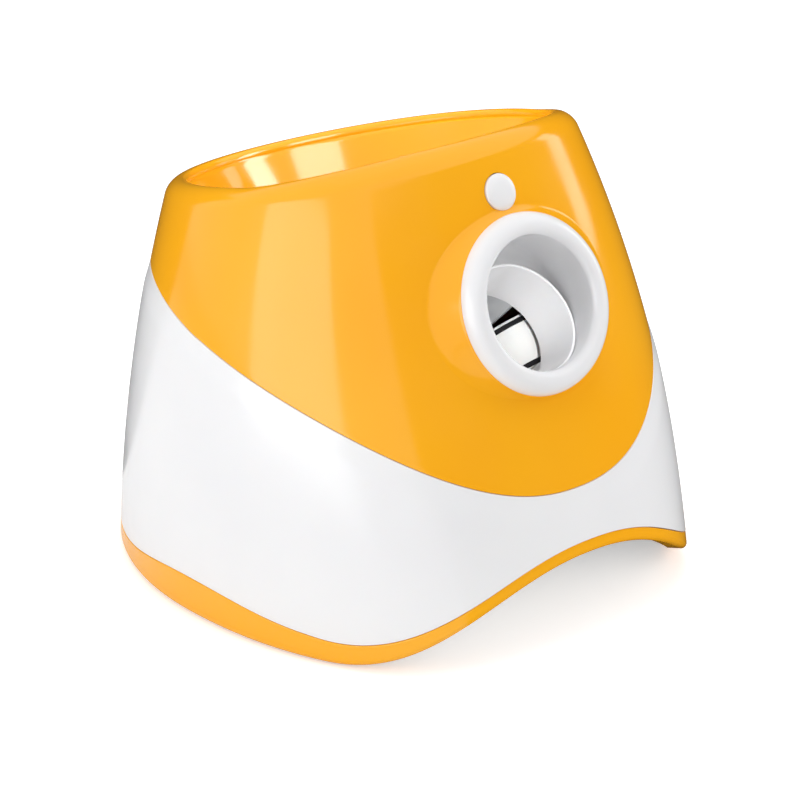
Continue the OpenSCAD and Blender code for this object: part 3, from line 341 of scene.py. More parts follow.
@dataclass(frozen=True)
class TiltedFrame:
    """A frame whose Z points out of the front and up, and whose Y points up across it.

    Attributes:
        origin: Its origin in the launcher's frame, in mm.
        tilt: How far its Z is turned up from the front, in degrees.
    """

    origin: Triple
    tilt: float

    def place(self, points: Array) -> Array:
        """Carries points from this frame to the launcher's frame."""
        cosine, sine = math.cos(math.radians(self.tilt)), math.sin(math.radians(self.tilt))
        x, up, out = points[..., 0], points[..., 1], points[..., 2]
        return np.stack([self.origin[0] + x, self.origin[1] + up * sine - out * cosine,
                         self.origin[2] + up * cosine + out * sine], -1)


# ---------------------------------------------------------------- pieces


def put_in_scene(name: str, data: bpy.types.ID) -> Object:
    """Makes an object of a mesh, a lamp or a camera and links it to the scene."""
    item = bpy.data.objects.new(name, data)
    bpy.context.scene.collection.objects.link(item)
    return item


def mesh_object(name: str, points: Array, faces: list[Any]) -> Object:
    """Makes an object of points in metres and faces, and links it to the scene."""
    mesh = bpy.data.meshes.new(name)
    mesh.from_pydata(points.tolist(), [], faces)
    return put_in_scene(name, mesh)


def settle_normals(mesh: bpy.types.Mesh) -> None:
    """Merges doubles, smooths the mesh and keeps its sharp edges."""
    shape = bmesh.new()
    shape.from_mesh(mesh)
    bmesh.ops.remove_doubles(shape, verts=shape.verts, dist=MERGE_DISTANCE)
    bmesh.ops.dissolve_degenerate(shape, edges=shape.edges, dist=SHORTEST_EDGE)
    shape.to_mesh(mesh)
    shape.free()
    mesh.shade_smooth()
    mesh.set_sharp_from_angle(angle=SHARP_ANGLE)


def grid_object(name: str, points: Array) -> Object:
    """Makes a closed object from a grid of points whose rows and columns both close.

    Two neighbouring rows and columns bound one face. The faces are turned round if the enclosed
    volume, the sum of (a x b) . c / 6 over the triangles, comes out negative.

    Args:
        name: Name of the object and its mesh.
        points: Grid of points in mm.

    Returns:
        The object, linked to the scene.
    """
    rows, columns = points.shape[:2]
    index = np.arange(rows * columns).reshape(rows, columns)
    index = np.pad(index, ((0, 1), (0, 1)), mode="wrap")
    faces = np.stack([index[:-1, :-1], index[:-1, 1:], index[1:, 1:], index[1:, :-1]], -1).reshape(-1, 4)
    flat = points.reshape(-1, 3) * MM
    a, b, c, d = (flat[faces[:, k]] for k in range(4))
    volume = (np.cross(a, b) * c).sum() + (np.cross(a, c) * d).sum()
    if volume < 0:
        faces = faces[:, ::-1]
    piece = mesh_object(name, flat, faces.tolist())
    settle_normals(piece.data)
    return piece


def cut(piece: Object, *cutters: Object) -> Object:
    """Cuts shapes out of a piece and removes the cutters.

    Args:
        piece: The piece to cut.
        *cutters: The shapes to take away.

    Returns:
        The cut piece.
    """
    for cutter in cutters:
        piece.modifiers.new("cut", "BOOLEAN").object = cutter
    bpy.context.view_layer.update()
    graph = bpy.context.evaluated_depsgraph_get()
    mesh = bpy.data.meshes.new_from_object(piece.evaluated_get(graph))
    piece.modifiers.clear()
    piece.data = mesh
    for cutter in cutters:
        bpy.data.objects.remove(cutter)
    settle_normals(mesh)
    return piece


def dress(piece: Object, finish: Finish, body: str, slot: str, *nodes: str) -> None:
    """Gives a piece its finish, its body and the nodes that it stands for.

    Args:
        piece: The finished piece.
        finish: Its material.
        body: The body that it moves with.
        slot: The record's material slot; not used.
        *nodes: CAD nodes that it replaces.
    """
    piece.data.materials.clear()
    piece.data.materials.append(finish.material())
    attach(piece, body)
    if nodes:
        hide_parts(*nodes)
    log.info("%s: %d faces, %s, on %s", piece.name, len(piece.data.polygons), finish.name, body)


# ---------------------------------------------------------------- the case


@dataclass(frozen=True)
class CaseOutline:
    """The shape that the shells, the trim and the bowl's rim share, all in mm.

    Attributes:
        half_widths: Half width at the floor, towards the belly, towards the shoulder and at the top.
        front_reaches: Reach in front of the centre at the same four levels.
        rear_reaches: Reach behind the centre at the same four levels.
        outline_height: Height at which the outline ends.
        front_squareness: Power of the level section's front half, 2 is an ellipse.
        rear_squareness: Power of its rear half.
        columns: Columns round the case.
    """

    half_widths: Quad = (134.0, 145.0, 131.0, 94.0)
    front_reaches: Quad = (166.0, 141.0, 107.0, 70.0)
    rear_reaches: Quad = (155.0, 130.0, 118.0, 111.0)
    outline_height: float = 237.0
    front_squareness: float = 2.2
    rear_squareness: float = 2.0
    columns: int = 288

    @property
    def turns(self) -> Array:
        """Angles round the case from the front, in degrees, towards +X."""
        return np.arange(self.columns) * 360 / self.columns

    def blend(self, levels: Quad, height: Array) -> Array:
        """Cubic Bernstein blend of four values over the height."""
        t = height / self.outline_height
        a, b, c, d = levels
        return a * (1 - t) ** 3 + 3 * b * t * (1 - t) ** 2 + 3 * c * t * t * (1 - t) + d * t**3

    def skin(self, turn: Array, height: Array, inset: Array) -> Array:
        """Points of the case, moved inwards by inset.

        The level section is a super-ellipse: x = a sgn(sin) |sin|^(2/n), y = -b sgn(cos) |cos|^(2/n).

        Args:
            turn: Angle from the front in degrees.
            height: Height over the floor.
            inset: How far inside the outer surface.

        Returns:
            Points in the launcher's frame.
        """
        turn, height, inset = np.broadcast_arrays(np.radians(turn), height, inset)
        sine, cosine = np.sin(turn), np.cos(turn)
        ahead = cosine > 0
        power = 2 / np.where(ahead, self.front_squareness, self.rear_squareness)
        reach = np.where(ahead, self.blend(self.front_reaches, height), self.blend(self.rear_reaches, height))
        x = (self.blend(self.half_widths, height) - inset) * np.sign(sine) * np.abs(sine) ** power
        y = -(reach - inset) * np.sign(cosine) * np.abs(cosine) ** power
        return np.stack([x, y, height], -1)

    def front_surface(self, x: Array, height: Array) -> Array:
        """Y of the outer surface ahead of the centre: -b (1 - |x / a|^n)^(1/n)."""
        across = np.abs(x / self.blend(self.half_widths, height)) ** self.front_squareness
        return -self.blend(self.front_reaches, height) * (1 - across) ** (1 / self.front_squareness)


@dataclass(frozen=True)
class CaseSeams:
    """Heights of the rim, the seam and the trim round the case, in mm.

    Attributes:
        outline: The case's outline.
        rim: Mean height of the rim, its rise to the front and its second harmonic.
        seam: Mean height of the seam, its dip, its side lift and its end shape.
        arch: Height of the front arch and the angle at which it lands.
        trim: Height of the trim in front and at the sides.
        growth: Angle at which it starts to grow from the one to the other, and over how many degrees.
        lobes: Extra height of the trim over the side and the rear feet, and their spread in degrees.
        feet: Angles of the side and the rear feet.
        stand: How far the case stands off the floor.
    """

    outline: CaseOutline = CaseOutline()
    rim: Triple = (215.0, 24.0, 1.7)
    seam: Quad = (132.0, 33.0, 18.5, 3.0)
    arch: Pair = (45.0, 60.0)
    trim: Pair = (8.0, 12.5)
    growth: Pair = (20.0, 45.0)
    lobes: Triple = (10.5, 1.0, 21.5)
    feet: Pair = (90.0, 145.0)
    stand: float = 1.2

    @property
    def away(self) -> Array:
        """Angle from the front without its sign."""
        return np.abs((self.outline.turns + 180) % 360 - 180)

    @property
    def rim_at(self) -> Array:
        """Height of the rim: mean + rise cos - harmonic cos 2."""
        turn = np.radians(self.away)
        return self.rim[0] + self.rim[1] * np.cos(turn) - self.rim[2] * np.cos(2 * turn)

    @property
    def seam_at(self) -> Array:
        """Height of the seam: mean - dip cos - lift cos 2 - shape cos 4."""
        turn = np.radians(self.away)
        mean, dip, lift, shape = self.seam
        return mean - dip * np.cos(turn) - lift * np.cos(2 * turn) - shape * np.cos(4 * turn)

    @property
    def floor_at(self) -> Array:
        """Height of the lower edge: the stand, and a raised cosine under the front."""
        high, land = self.arch
        rise = high * (1 + np.cos(np.radians(180 * self.away / land))) / 2
        return self.stand + np.where(self.away < land, rise, 0)

    @property
    def trim_at(self) -> Array:
        """Height of the trim's upper edge: it grows to the sides and has a lobe over each foot."""
        start, span = self.growth
        growth = (self.trim[1] - self.trim[0]) * ease((self.away - start) / span)
        side, rear, spread = self.lobes
        lobes = side * bell(self.away - self.feet[0], spread) + rear * bell(self.away - self.feet[1], spread)
        return self.floor_at + self.trim[0] + growth + lobes - self.stand


@dataclass(frozen=True)
class CaseWall:
    """Lofts a wall section round the case for the moulded shells and the trim.

    Attributes:
        seams: Heights round the case.
        wall: Wall of the two shells, in mm.
        edge: Radius of the shells' edges along the seams.
        gap: Gap along the seams.
        swell: Swell of the lower shell under the seam, and the heights over which it starts and fades.
        crest: Width and height of the rim's rounded crest.
        trim_wall: Wall of the trim.
        trim_lip: Width of the lip that the trim folds under the case.
        trim_round: Radius of the trim's lower edge.
        rows: Rows of a tall wall.
        inner_rows: Rows of a shell's inner side.
    """

    seams: CaseSeams = CaseSeams()
    wall: float = 2.5
    edge: float = 0.5
    gap: float = 0.3
    swell: Triple = (1.0, 14.0, 60.0)
    crest: Pair = (7.0, 8.0)
    trim_wall: float = 2.5
    trim_lip: float = 10.0
    trim_round: float = 3.5
    rows: int = 56
    inner_rows: int = 12

    def span(self, low: Array, high: Array, rows: int) -> Array:
        """Heights between two edges, one row each."""
        return low + (high - low) * np.linspace(0, 1, rows)[:, None]

    def loft(self, *parts: tuple[Array, Array | float]) -> Array:
        """Stacks rows of heights and insets and carries them round the case.

        Args:
            *parts: Heights (rows by columns) and their insets.

        Returns:
            Grid of points.
        """
        flat = [np.broadcast_arrays(np.atleast_2d(height), inset) for height, inset in parts]
        heights, insets = (np.concatenate([part[k] for part in flat]) for k in (0, 1))
        return self.seams.outline.skin(self.seams.outline.turns, heights, insets)

    def upper(self) -> Array:
        """Upper shell: a rounded lower edge, the wall, an oval crest and the wall's inner side."""
        low = self.seams.seam_at + self.gap / 2
        rim = self.seams.rim_at
        width, height = self.crest
        rise, side = quarter(self.edge, 9)
        crest = arc(17)
        return self.loft(
            (low + rise, side),
            (self.span(low + self.edge, rim - height, self.rows)[1:-1], 0.0),
            (rim - height * (1 - np.sin(crest)), width * (1 - np.cos(crest))),
            (self.span(rim, rim - self.wall, 3)[1:], width),
            (self.span(rim - height, low, self.inner_rows), self.wall))

    def lower(self) -> Array:
        """Lower shell: its wall swells out under the seam and has rounded edges."""
        low = self.seams.trim_at + self.gap
        high = self.seams.seam_at - self.gap / 2
        rise, side = quarter(self.edge, 9)
        heights = self.span(low + self.edge, high - self.edge, self.rows)
        below = self.seams.seam_at - heights
        out, start, fade = self.swell
        bulge = out * ease(below / start) * bell(below, fade)
        return self.loft(
            (low + rise, side - bulge[:1]),
            (heights[1:-1], -bulge[1:-1]),
            (high - side, rise - bulge[-1:]),
            (self.span(high, low, self.inner_rows), self.wall))

    def trim(self) -> Array:
        """Base trim: rounded lower edge, short wall, and a lip folded under the case."""
        floor, top = self.seams.floor_at, self.seams.trim_at
        inwards, rise = quarter(self.trim_round, 13)
        fall, side = quarter(self.edge, 7)
        return self.loft(
            (floor + rise, inwards),
            (floor, self.trim_lip),
            (floor + self.trim_wall, self.trim_lip),
            (floor + self.trim_wall, self.trim_wall),
            (top, self.trim_wall),
            (top - fall, side),
            (self.span(top - self.edge, floor + self.trim_round, 8)[1:-1], 0.0))


@dataclass(frozen=True)
class HopperBowl:
    """The bowl between the rim and the throat.

    Attributes:
        case: The case's walls.
        launch: The launch tube's frame.
        throat: Throat's radius, its length above the launch axis and its distance down the tube.
        slope: Slope of the bowl's floor where it meets the throat.
        lean: How far its wall leans in at the rim, 0 is upright.
        seam: Gap between the crest and the lip.
        wall: Wall of the bowl.
        lip: Width and height of the rounded lip inside the crest.
        rows: Rows from the lip to the throat.
    """

    case: CaseWall
    launch: TiltedFrame
    throat: Triple = (27.5, 52.0, 94.0)
    slope: float = 0.22
    lean: float = 0.45
    seam: float = 0.06
    wall: float = 2.5
    lip: Pair = (4.0, 4.0)
    rows: int = 64

    def lofted(self, share: Array, out: float, lift: float) -> Array:
        """Points between the rim and the throat.

        Along a quarter of an oval: across goes as 1 - cos with a share of sin, the lean, and down goes
        as sin with a share of 1 - cos, the slope.

        Args:
            share: 0 at the rim to 1 at the throat, as a column.
            out: How far outside the bowl's inner surface.
            lift: How far the throat's end is raised along the throat.

        Returns:
            Grid of points.
        """
        seams = self.case.seams
        turns = seams.outline.turns
        top = seams.outline.skin(turns, seams.rim_at, self.case.crest[0] + self.lip[0] - out)
        top = top - np.array([0, 0, self.lip[1]])
        radius, length, station = self.throat
        angle = np.radians(turns)
        ring = np.stack([(radius + out) * np.sin(angle), np.full_like(angle, length + lift),
                         -station + (radius + out) * np.cos(angle)], -1)
        low = self.launch.place(ring)
        bend, fall = 1 - np.cos(np.pi / 2 * share), np.sin(np.pi / 2 * share)
        across = (1 - self.lean) * bend + self.lean * fall
        down = (1 - self.slope) * fall + self.slope * bend
        weights = np.stack([across, across, down], -1)
        return top[None] + (low - top)[None] * weights

    def surface(self) -> Array:
        """The whole bowl: outer side up, over the lip and down the inner side to the throat."""
        case, outline = self.case, self.case.seams.outline
        rim, start = case.seams.rim_at, case.crest[0] + self.seam
        width, height = case.crest[0] + self.lip[0] - start, self.lip[1]
        a = arc(13)
        lip = outline.skin(outline.turns, rim - height * (1 - np.cos(a)), start + width * np.sin(a))
        up = np.linspace(1, 0, 20)[:, None]
        return np.concatenate([
            self.lofted(np.ones((1, 1)), 0, 0),
            self.lofted(up, self.wall, 0),
            outline.skin(outline.turns, np.atleast_2d(rim - self.wall), start),
            lip[:-1],
            self.lofted(np.linspace(0, 1, self.rows)[:, None], 0, self.wall)])


@dataclass(frozen=True)
class LaunchPort:
    """The collar and the ring round the port, the cup behind it and the flared muzzle in the cup.

    Attributes:
        outline: The case's outline.
        frame: The ring's frame.
        launch: The launch tube's frame.
        ring_radius: Outer radius of the ring and of the shell's collar under it.
        collar_top: Height of the collar in the ring's frame.
        gap: Gap between the collar and the ring, and round the muzzle.
        mouth_radius: Radius inside the ring.
        proud: How far the ring stands proud of the shell.
        lip: Radius of the ring's inner lip.
        hole_radius: Radius of the hole in the shell.
        hole_reach: How far the hole's cutter reaches back and ahead.
        cup: Depth of the cup behind the shell, its wall and the bend between its wall and floor.
        neck_foot: Height at which the neck in the hole ends.
        mouth: Radius and wall of the muzzle at its mouth.
        bore: Radius and wall of the launch bore.
        flare: Length of the muzzle's flare and of the whole muzzle.
        room: How far the cutter of the muzzle's room reaches down the tube and past the mouth.
        collar_edge: Radius of the collar's upper edge.
        collar_foot: Depth of its fillet's end and of its wall's end under the shell's surface.
        collar_reach: Reach of its fillet per mm of drop, and the least and the most reach.
        search: Heights in the ring's frame between which the shell's surface is sought.
        sides: Columns round the port.
    """

    outline: CaseOutline
    frame: TiltedFrame
    launch: TiltedFrame
    ring_radius: float = 45.0
    collar_top: float = 2.0
    gap: float = 0.3
    mouth_radius: float = 33.3
    proud: float = 10.0
    lip: float = 4.0
    hole_radius: float = 42.0
    hole_reach: Pair = (60.0, 40.0)
    cup: Triple = (30.0, 2.0, 9.0)
    neck_foot: float = -6.0
    mouth: Pair = (29.0, 1.4)
    bore: Pair = (27.0, 2.2)
    flare: Pair = (26.0, 28.0)
    room: Pair = (90.0, 2.5)
    collar_edge: float = 0.3
    collar_foot: Pair = (0.04, 1.5)
    collar_reach: Triple = (2.6, 1.2, 20.0)
    search: Pair = (-40.0, 10.0)
    sides: int = 192

    def around(self, radius: Array, height: Array) -> Array:
        """Points round the port's axis in its frame, for radii and heights per row and column."""
        turn = np.linspace(0, 2 * np.pi, self.sides, endpoint=False)[None]
        radius, height = (np.broadcast_to(np.atleast_2d(v), (np.atleast_2d(v).shape[0], self.sides))
                          for v in (radius, height))
        return np.stack([radius * np.cos(turn), radius * np.sin(turn), height], -1)

    def shell_depth(self, radius: Array) -> Array:
        """Height of the shell's surface in the ring's frame, found by halving 40 times.

        Args:
            radius: Distance from the port's axis, per row and column.

        Returns:
            The heights, per row and column.
        """
        low, high = (np.full((np.atleast_2d(radius).shape[0], self.sides), end) for end in self.search)
        for _ in range(40):
            middle = (low + high) / 2
            point = self.frame.place(self.around(radius, middle))
            behind = point[..., 1] > self.outline.front_surface(point[..., 0], point[..., 2])
            low, high = np.where(behind, middle, low), np.where(behind, high, middle)
        return low

    def collar(self) -> Array:
        """The shell's collar round the hole.

        From the collar's edge it falls to the shell as (1 - s) squared, over a reach that grows with
        the drop, and ends just under the shell's surface.

        Returns:
            Grid of points.
        """
        (sunk, root), (growth, least, most) = self.collar_foot, self.collar_reach
        fall, side = quarter(self.collar_edge, 5)
        drop = self.collar_top - self.shell_depth(self.ring_radius)
        reach = np.clip(growth * (drop - root), least, most)
        s = np.linspace(0, 1, 18)[1:, None]
        radius = self.ring_radius + reach * s
        under = self.shell_depth(radius) - sunk
        start = self.collar_top - self.collar_edge
        rows = [
            (self.hole_radius, self.shell_depth(self.hole_radius) - root),
            (self.hole_radius, self.collar_top),
            (self.ring_radius - side, self.collar_top - fall),
            (radius, under + (start - under) * (1 - s) ** 2),
            (radius[-1:], under[-1:] - root),
        ]
        return self.frame.place(np.concatenate([self.around(*row) for row in rows]))

    def ring(self) -> Array:
        """The ring and its cup: a domed brow, a round lip, and a cup whose floor bends into its wall."""
        seat = self.collar_top + self.gap
        brow = self.ring_radius - self.mouth_radius - self.lip
        depth, wall, bend = self.cup
        floor, outer, neck = wall - depth, self.mouth_radius + wall, self.hole_radius - self.gap
        dome, lip = arc(17), arc(21, 90, 180)
        inwards, rise = quarter(bend, 13)
        side = np.linspace(self.proud - self.lip, floor + bend, 8)[1:-1, None]
        profile = np.concatenate([
            np.hstack([self.ring_radius - brow * (1 - np.cos(dome)),
                       seat + (self.proud - seat) * np.sin(dome)]),
            np.hstack([self.mouth_radius + self.lip * (1 + np.cos(lip)),
                       self.proud - self.lip * (1 - np.sin(lip))])[1:],
            np.hstack([self.mouth_radius + 0 * side, side]),
            np.hstack([self.mouth_radius - inwards, floor + rise]),
            np.array([[0, floor], [0, -depth], [outer, -depth], [outer, self.neck_foot],
                      [neck, self.neck_foot], [neck, seat]]),
        ])
        return self.frame.place(revolve(profile, self.sides))

    def muzzle(self) -> Array:
        """The muzzle: a thin rounded mouth whose inside narrows to the bore as (1 - s)^1.2."""
        (mouth, rim), (bore, wall), (flare, length) = self.mouth, self.bore, self.flare
        s = np.linspace(1, 0, 25)[:-1, None]
        inside = np.hstack([bore + (mouth - bore) * (1 - s) ** 1.2, -rim / 2 - (flare - rim / 2) * s])
        tip = arc(15, 180, 0)
        rounded = np.hstack([mouth + rim / 2 * (1 + np.cos(tip)), -rim / 2 * (1 - np.sin(tip))])
        outside = np.array([[bore + wall, -length], [bore, -length]])
        return self.launch.place(revolve(np.concatenate([rounded, outside, inside]), 160))

    def muzzle_cutter(self) -> Object:
        """The room that the muzzle and the tube take in the cup."""
        (mouth, rim), (bore, wall), length = self.mouth, self.bore, self.flare[1]
        outer, tube = mouth + rim + self.gap, bore + wall + self.gap
        down, past = self.room
        return plug("muzzle_cutter", self.launch,
                    [(tube, -down), (tube, -length), (outer, 0), (outer, past)])

    def hole_cutter(self) -> Object:
        """The port's hole in the shell."""
        back, ahead = self.hole_reach
        return plug("port_cutter", self.frame, [(self.hole_radius, -back), (self.hole_radius, ahead)])


def plug(name: str, frame_used: TiltedFrame, profile: list[Pair]) -> Object:
    """Makes a round cutter along a tilted frame.

    Args:
        name: Name of the cutter.
        frame_used: The frame whose Z it follows.
        profile: Its radius and height, from its low end to its high end.

    Returns:
        The cutter.
    """
    ends = [(0.0, profile[0][1]), *profile, (0.0, profile[-1][1])]
    return grid_object(name, frame_used.place(revolve(np.array(ends), 128)))


@dataclass(frozen=True)
class ThrowingWheel:
    """One drum with its two rubber bands, on an axis across the launch tube.

    Attributes:
        launch: The launch tube's frame.
        side: -1 for the left wheel, 1 for the right one.
        centre: Distance from the tube's axis and distance down the tube.
        radius: Radius of the drum.
        half: Half of its height.
        band: A band's half height, its distance from mid height, its groove and how far it is proud.
        play: Gap round a band in its groove.
        hub: Radius of the shaft's hole and of the hub, and how far the hub's face lies back.
        dish: Depth of the dished face and width of the rim round it.
    """

    launch: TiltedFrame
    side: int
    centre: Pair = (46.0, 62.0)
    radius: float = 24.0
    half: float = 14.0
    band: Quad = (1.3, 11.4, 1.4, 0.8)
    play: float = 0.02
    hub: Triple = (1.6, 7.0, 2.0)
    dish: Pair = (8.0, 3.0)

    def placed(self, profile: Array) -> Array:
        """Turns an outline round the wheel's axis, which lies along the launch frame's Y."""
        x, y, z = np.moveaxis(revolve(profile, 128), -1, 0)
        across, down = self.centre
        return self.launch.place(np.stack([x + self.side * across, z, -y - down], -1))

    def drum(self) -> Array:
        """The drum: rounded rims, grooves for the bands, a dished face and a hub."""
        r, half = self.radius, self.half
        thick, level, groove, _ = self.band
        (hole, hub, back), (deep, rim) = self.hub, self.dish
        upper = [(hole, 0.0, 0.0), (hole, half - back, 0.2), (hub, half - back, 0.5), (hub, half - deep, 1.0),
                 (r - rim, half - deep, 1.5), (r - rim, half, 0.4), (r, half, 0.6), (r, level + thick, 0.1),
                 (r - groove, level + thick, 0.0), (r - groove, level - thick, 0.0), (r, level - thick, 0.1)]
        lower = [(a, -b, c) for a, b, c in upper[:0:-1]]
        return self.placed(soften([*upper, *lower], 4))

    def rubber(self, level: int) -> Array:
        """One band in its groove, with rounded corners: the upper one at level 1, the lower at -1."""
        thick, height, groove, proud = self.band
        middle = level * height
        low, high = middle - thick + self.play, middle + thick - self.play
        inner, outer = self.radius - groove + self.play, self.radius + proud
        return self.placed(soften([(inner, low, 0.0), (outer, low, 0.5), (outer, high, 0.5),
                                   (inner, high, 0.0)], 5))


@dataclass(frozen=True)
class PushButton:
    """The domed button above the port.

    Attributes:
        frame: Its frame on the shell.
        radius: Radius of the cap.
        gap: Gap between the cap and the shell.
        proud: How far it stands proud.
        crown: Height of the dome.
        depth: How far the cap reaches behind the shell.
        stem: Radius of its stem and how deep it reaches.
        hole_reach: How far the cutter of its hole reaches each way.
    """

    frame: TiltedFrame
    radius: float = 9.2
    gap: float = 0.4
    proud: float = 2.2
    crown: float = 1.9
    depth: float = 4.0
    stem: Pair = (2.0, 7.8)
    hole_reach: float = 12.0

    def hole_cutter(self) -> Object:
        """The button's hole in the shell, wider than the cap by the gap."""
        room = self.radius + self.gap
        return plug("button_cutter", self.frame, [(room, -self.hole_reach), (room, self.hole_reach)])

    def cap(self) -> Array:
        """The cap: a stem, a skirt and a dome that is an oval arc over the radius."""
        a = arc(25)
        dome = np.hstack([self.radius * np.cos(a) ** 0.8, self.proud - self.crown + self.crown * np.sin(a)])
        thin, deep = self.stem
        below = np.array([[0.0, -deep], [thin, -deep], [thin, -self.depth], [self.radius, -self.depth]])
        return self.frame.place(revolve(np.concatenate([below, dome])))


# ---------------------------------------------------------------- studio


def aim_lamp(lamp: Object, place: Triple, target: Triple, only: tuple[str, ...]) -> None:
    """Stands a lamp in its place, turns it to its target and keeps its light to some pieces.

    Args:
        lamp: The lamp.
        place: Where it stands, in metres.
        target: The point that it is turned to, in metres.
        only: Names of the pieces that it lights; with none it lights all.
    """
    lamp.location = place
    lamp.rotation_euler = (Vector(target) - Vector(place)).to_track_quat("-Z", "Y").to_euler()
    if only:
        lit = bpy.data.collections.new(f"lit_by_{lamp.name}")
        for name in only:
            lit.objects.link(bpy.data.objects[name])
        lamp.light_linking.receiver_collection = lit


@dataclass(frozen=True)
class SoftBox:
    """A rectangular studio lamp.

    Attributes:
        name: Its name.
        place: Where it hangs, in metres.
        size: Width and height in metres.
        power: Power in watts.
        reflected: Whether glossy surfaces mirror it.
        lights: Whether it lights matt surfaces.
        only: The pieces that it is flagged to, or none for all of them.
    """

    name: str
    place: Triple
    size: Pair
    power: float
    reflected: bool = True
    lights: bool = True
    only: tuple[str, ...] = ()

    def hang(self, target: Triple) -> None:
        """Makes the lamp and turns it to the target."""
        light = bpy.data.lights.new(self.name, "AREA")
        light.shape = "RECTANGLE"
        light.size, light.size_y = self.size
        light.energy = self.power
        lamp = put_in_scene(self.name, light)
        lamp.visible_glossy = self.reflected
        lamp.visible_diffuse = self.lights
        aim_lamp(lamp, self.place, target, self.only)


@dataclass(frozen=True)
class SnootedLamp:
    """A lamp beside the camera whose narrow beam reaches down the muzzle.

    Attributes:
        place: Where it stands, in metres.
        aim: Where its beam meets the launcher.
        beam: Full angle of the beam in degrees.
        fade: Share of the beam over which it fades.
        bulb: Radius of its bulb in metres.
        power: Power in watts.
        only: The pieces that it lights.
    """

    place: Triple = (-0.92, -1.3, 0.78)
    aim: Triple = (0.015, -0.088, 0.14)
    beam: float = 2.2
    fade: float = 0.5
    bulb: float = 0.03
    power: float = 130.0
    only: tuple[str, ...] = ("muzzle", "right_drum", "right_upper_band", "right_lower_band", "launch_tube")

    def hang(self) -> None:
        """Makes the lamp and aims it."""
        light = bpy.data.lights.new("snooted_lamp", "SPOT")
        light.spot_size, light.spot_blend = math.radians(self.beam), self.fade
        light.energy, light.shadow_soft_size = self.power, self.bulb
        lamp = put_in_scene("snooted_lamp", light)
        lamp.visible_glossy = False
        aim_lamp(lamp, self.place, self.aim, self.only)


@dataclass(frozen=True)
class BlackFlag:
    """A dark curved screen that only glossy surfaces see, as flags stand round a glossy product.

    Attributes:
        radius: Distance of the screen from the launcher, in metres.
        height: Its height in metres.
        skirt: Distance from which a dark sheet lies on the floor, up to the screen.
        lift: How far the sheet lies over the floor.
        turns: Where it starts and ends, in degrees from +X towards +Y.
        columns: Columns round it.
    """

    radius: float = 2.3
    height: float = 1.5
    skirt: float = 0.02
    lift: float = 0.001
    turns: Pair = (-112.0, 112.0)
    columns: int = 49

    def stand(self) -> None:
        """Makes the screen and its skirt, from three arcs."""
        count = self.columns
        turn = np.radians(np.linspace(*self.turns, count))
        arcs = [(self.skirt, self.lift), (self.radius, self.lift), (self.radius, self.height)]
        rows = [np.stack([r * np.cos(turn), r * np.sin(turn), z + 0 * turn], -1) for r, z in arcs]
        faces = [(a + i, a + i + 1, a + count + i + 1, a + count + i)
                 for a in (0, count) for i in range(count - 1)]
        screen = mesh_object("black_flag", np.concatenate(rows), faces)
        screen.visible_camera = screen.visible_diffuse = screen.visible_shadow = False
        screen.visible_transmission = False
        # Worn black velvet: a dark grey without gloss.
        velvet = bpy.data.materials.new("black_velvet")
        tree = fresh_tree(velvet)
        cloth = add_node(tree, "ShaderNodeBsdfDiffuse", {"Color": linear("2A2A2A")})
        add_node(tree, "ShaderNodeOutputMaterial", {"Surface": cloth.outputs[0]})
        screen.data.materials.append(velvet)


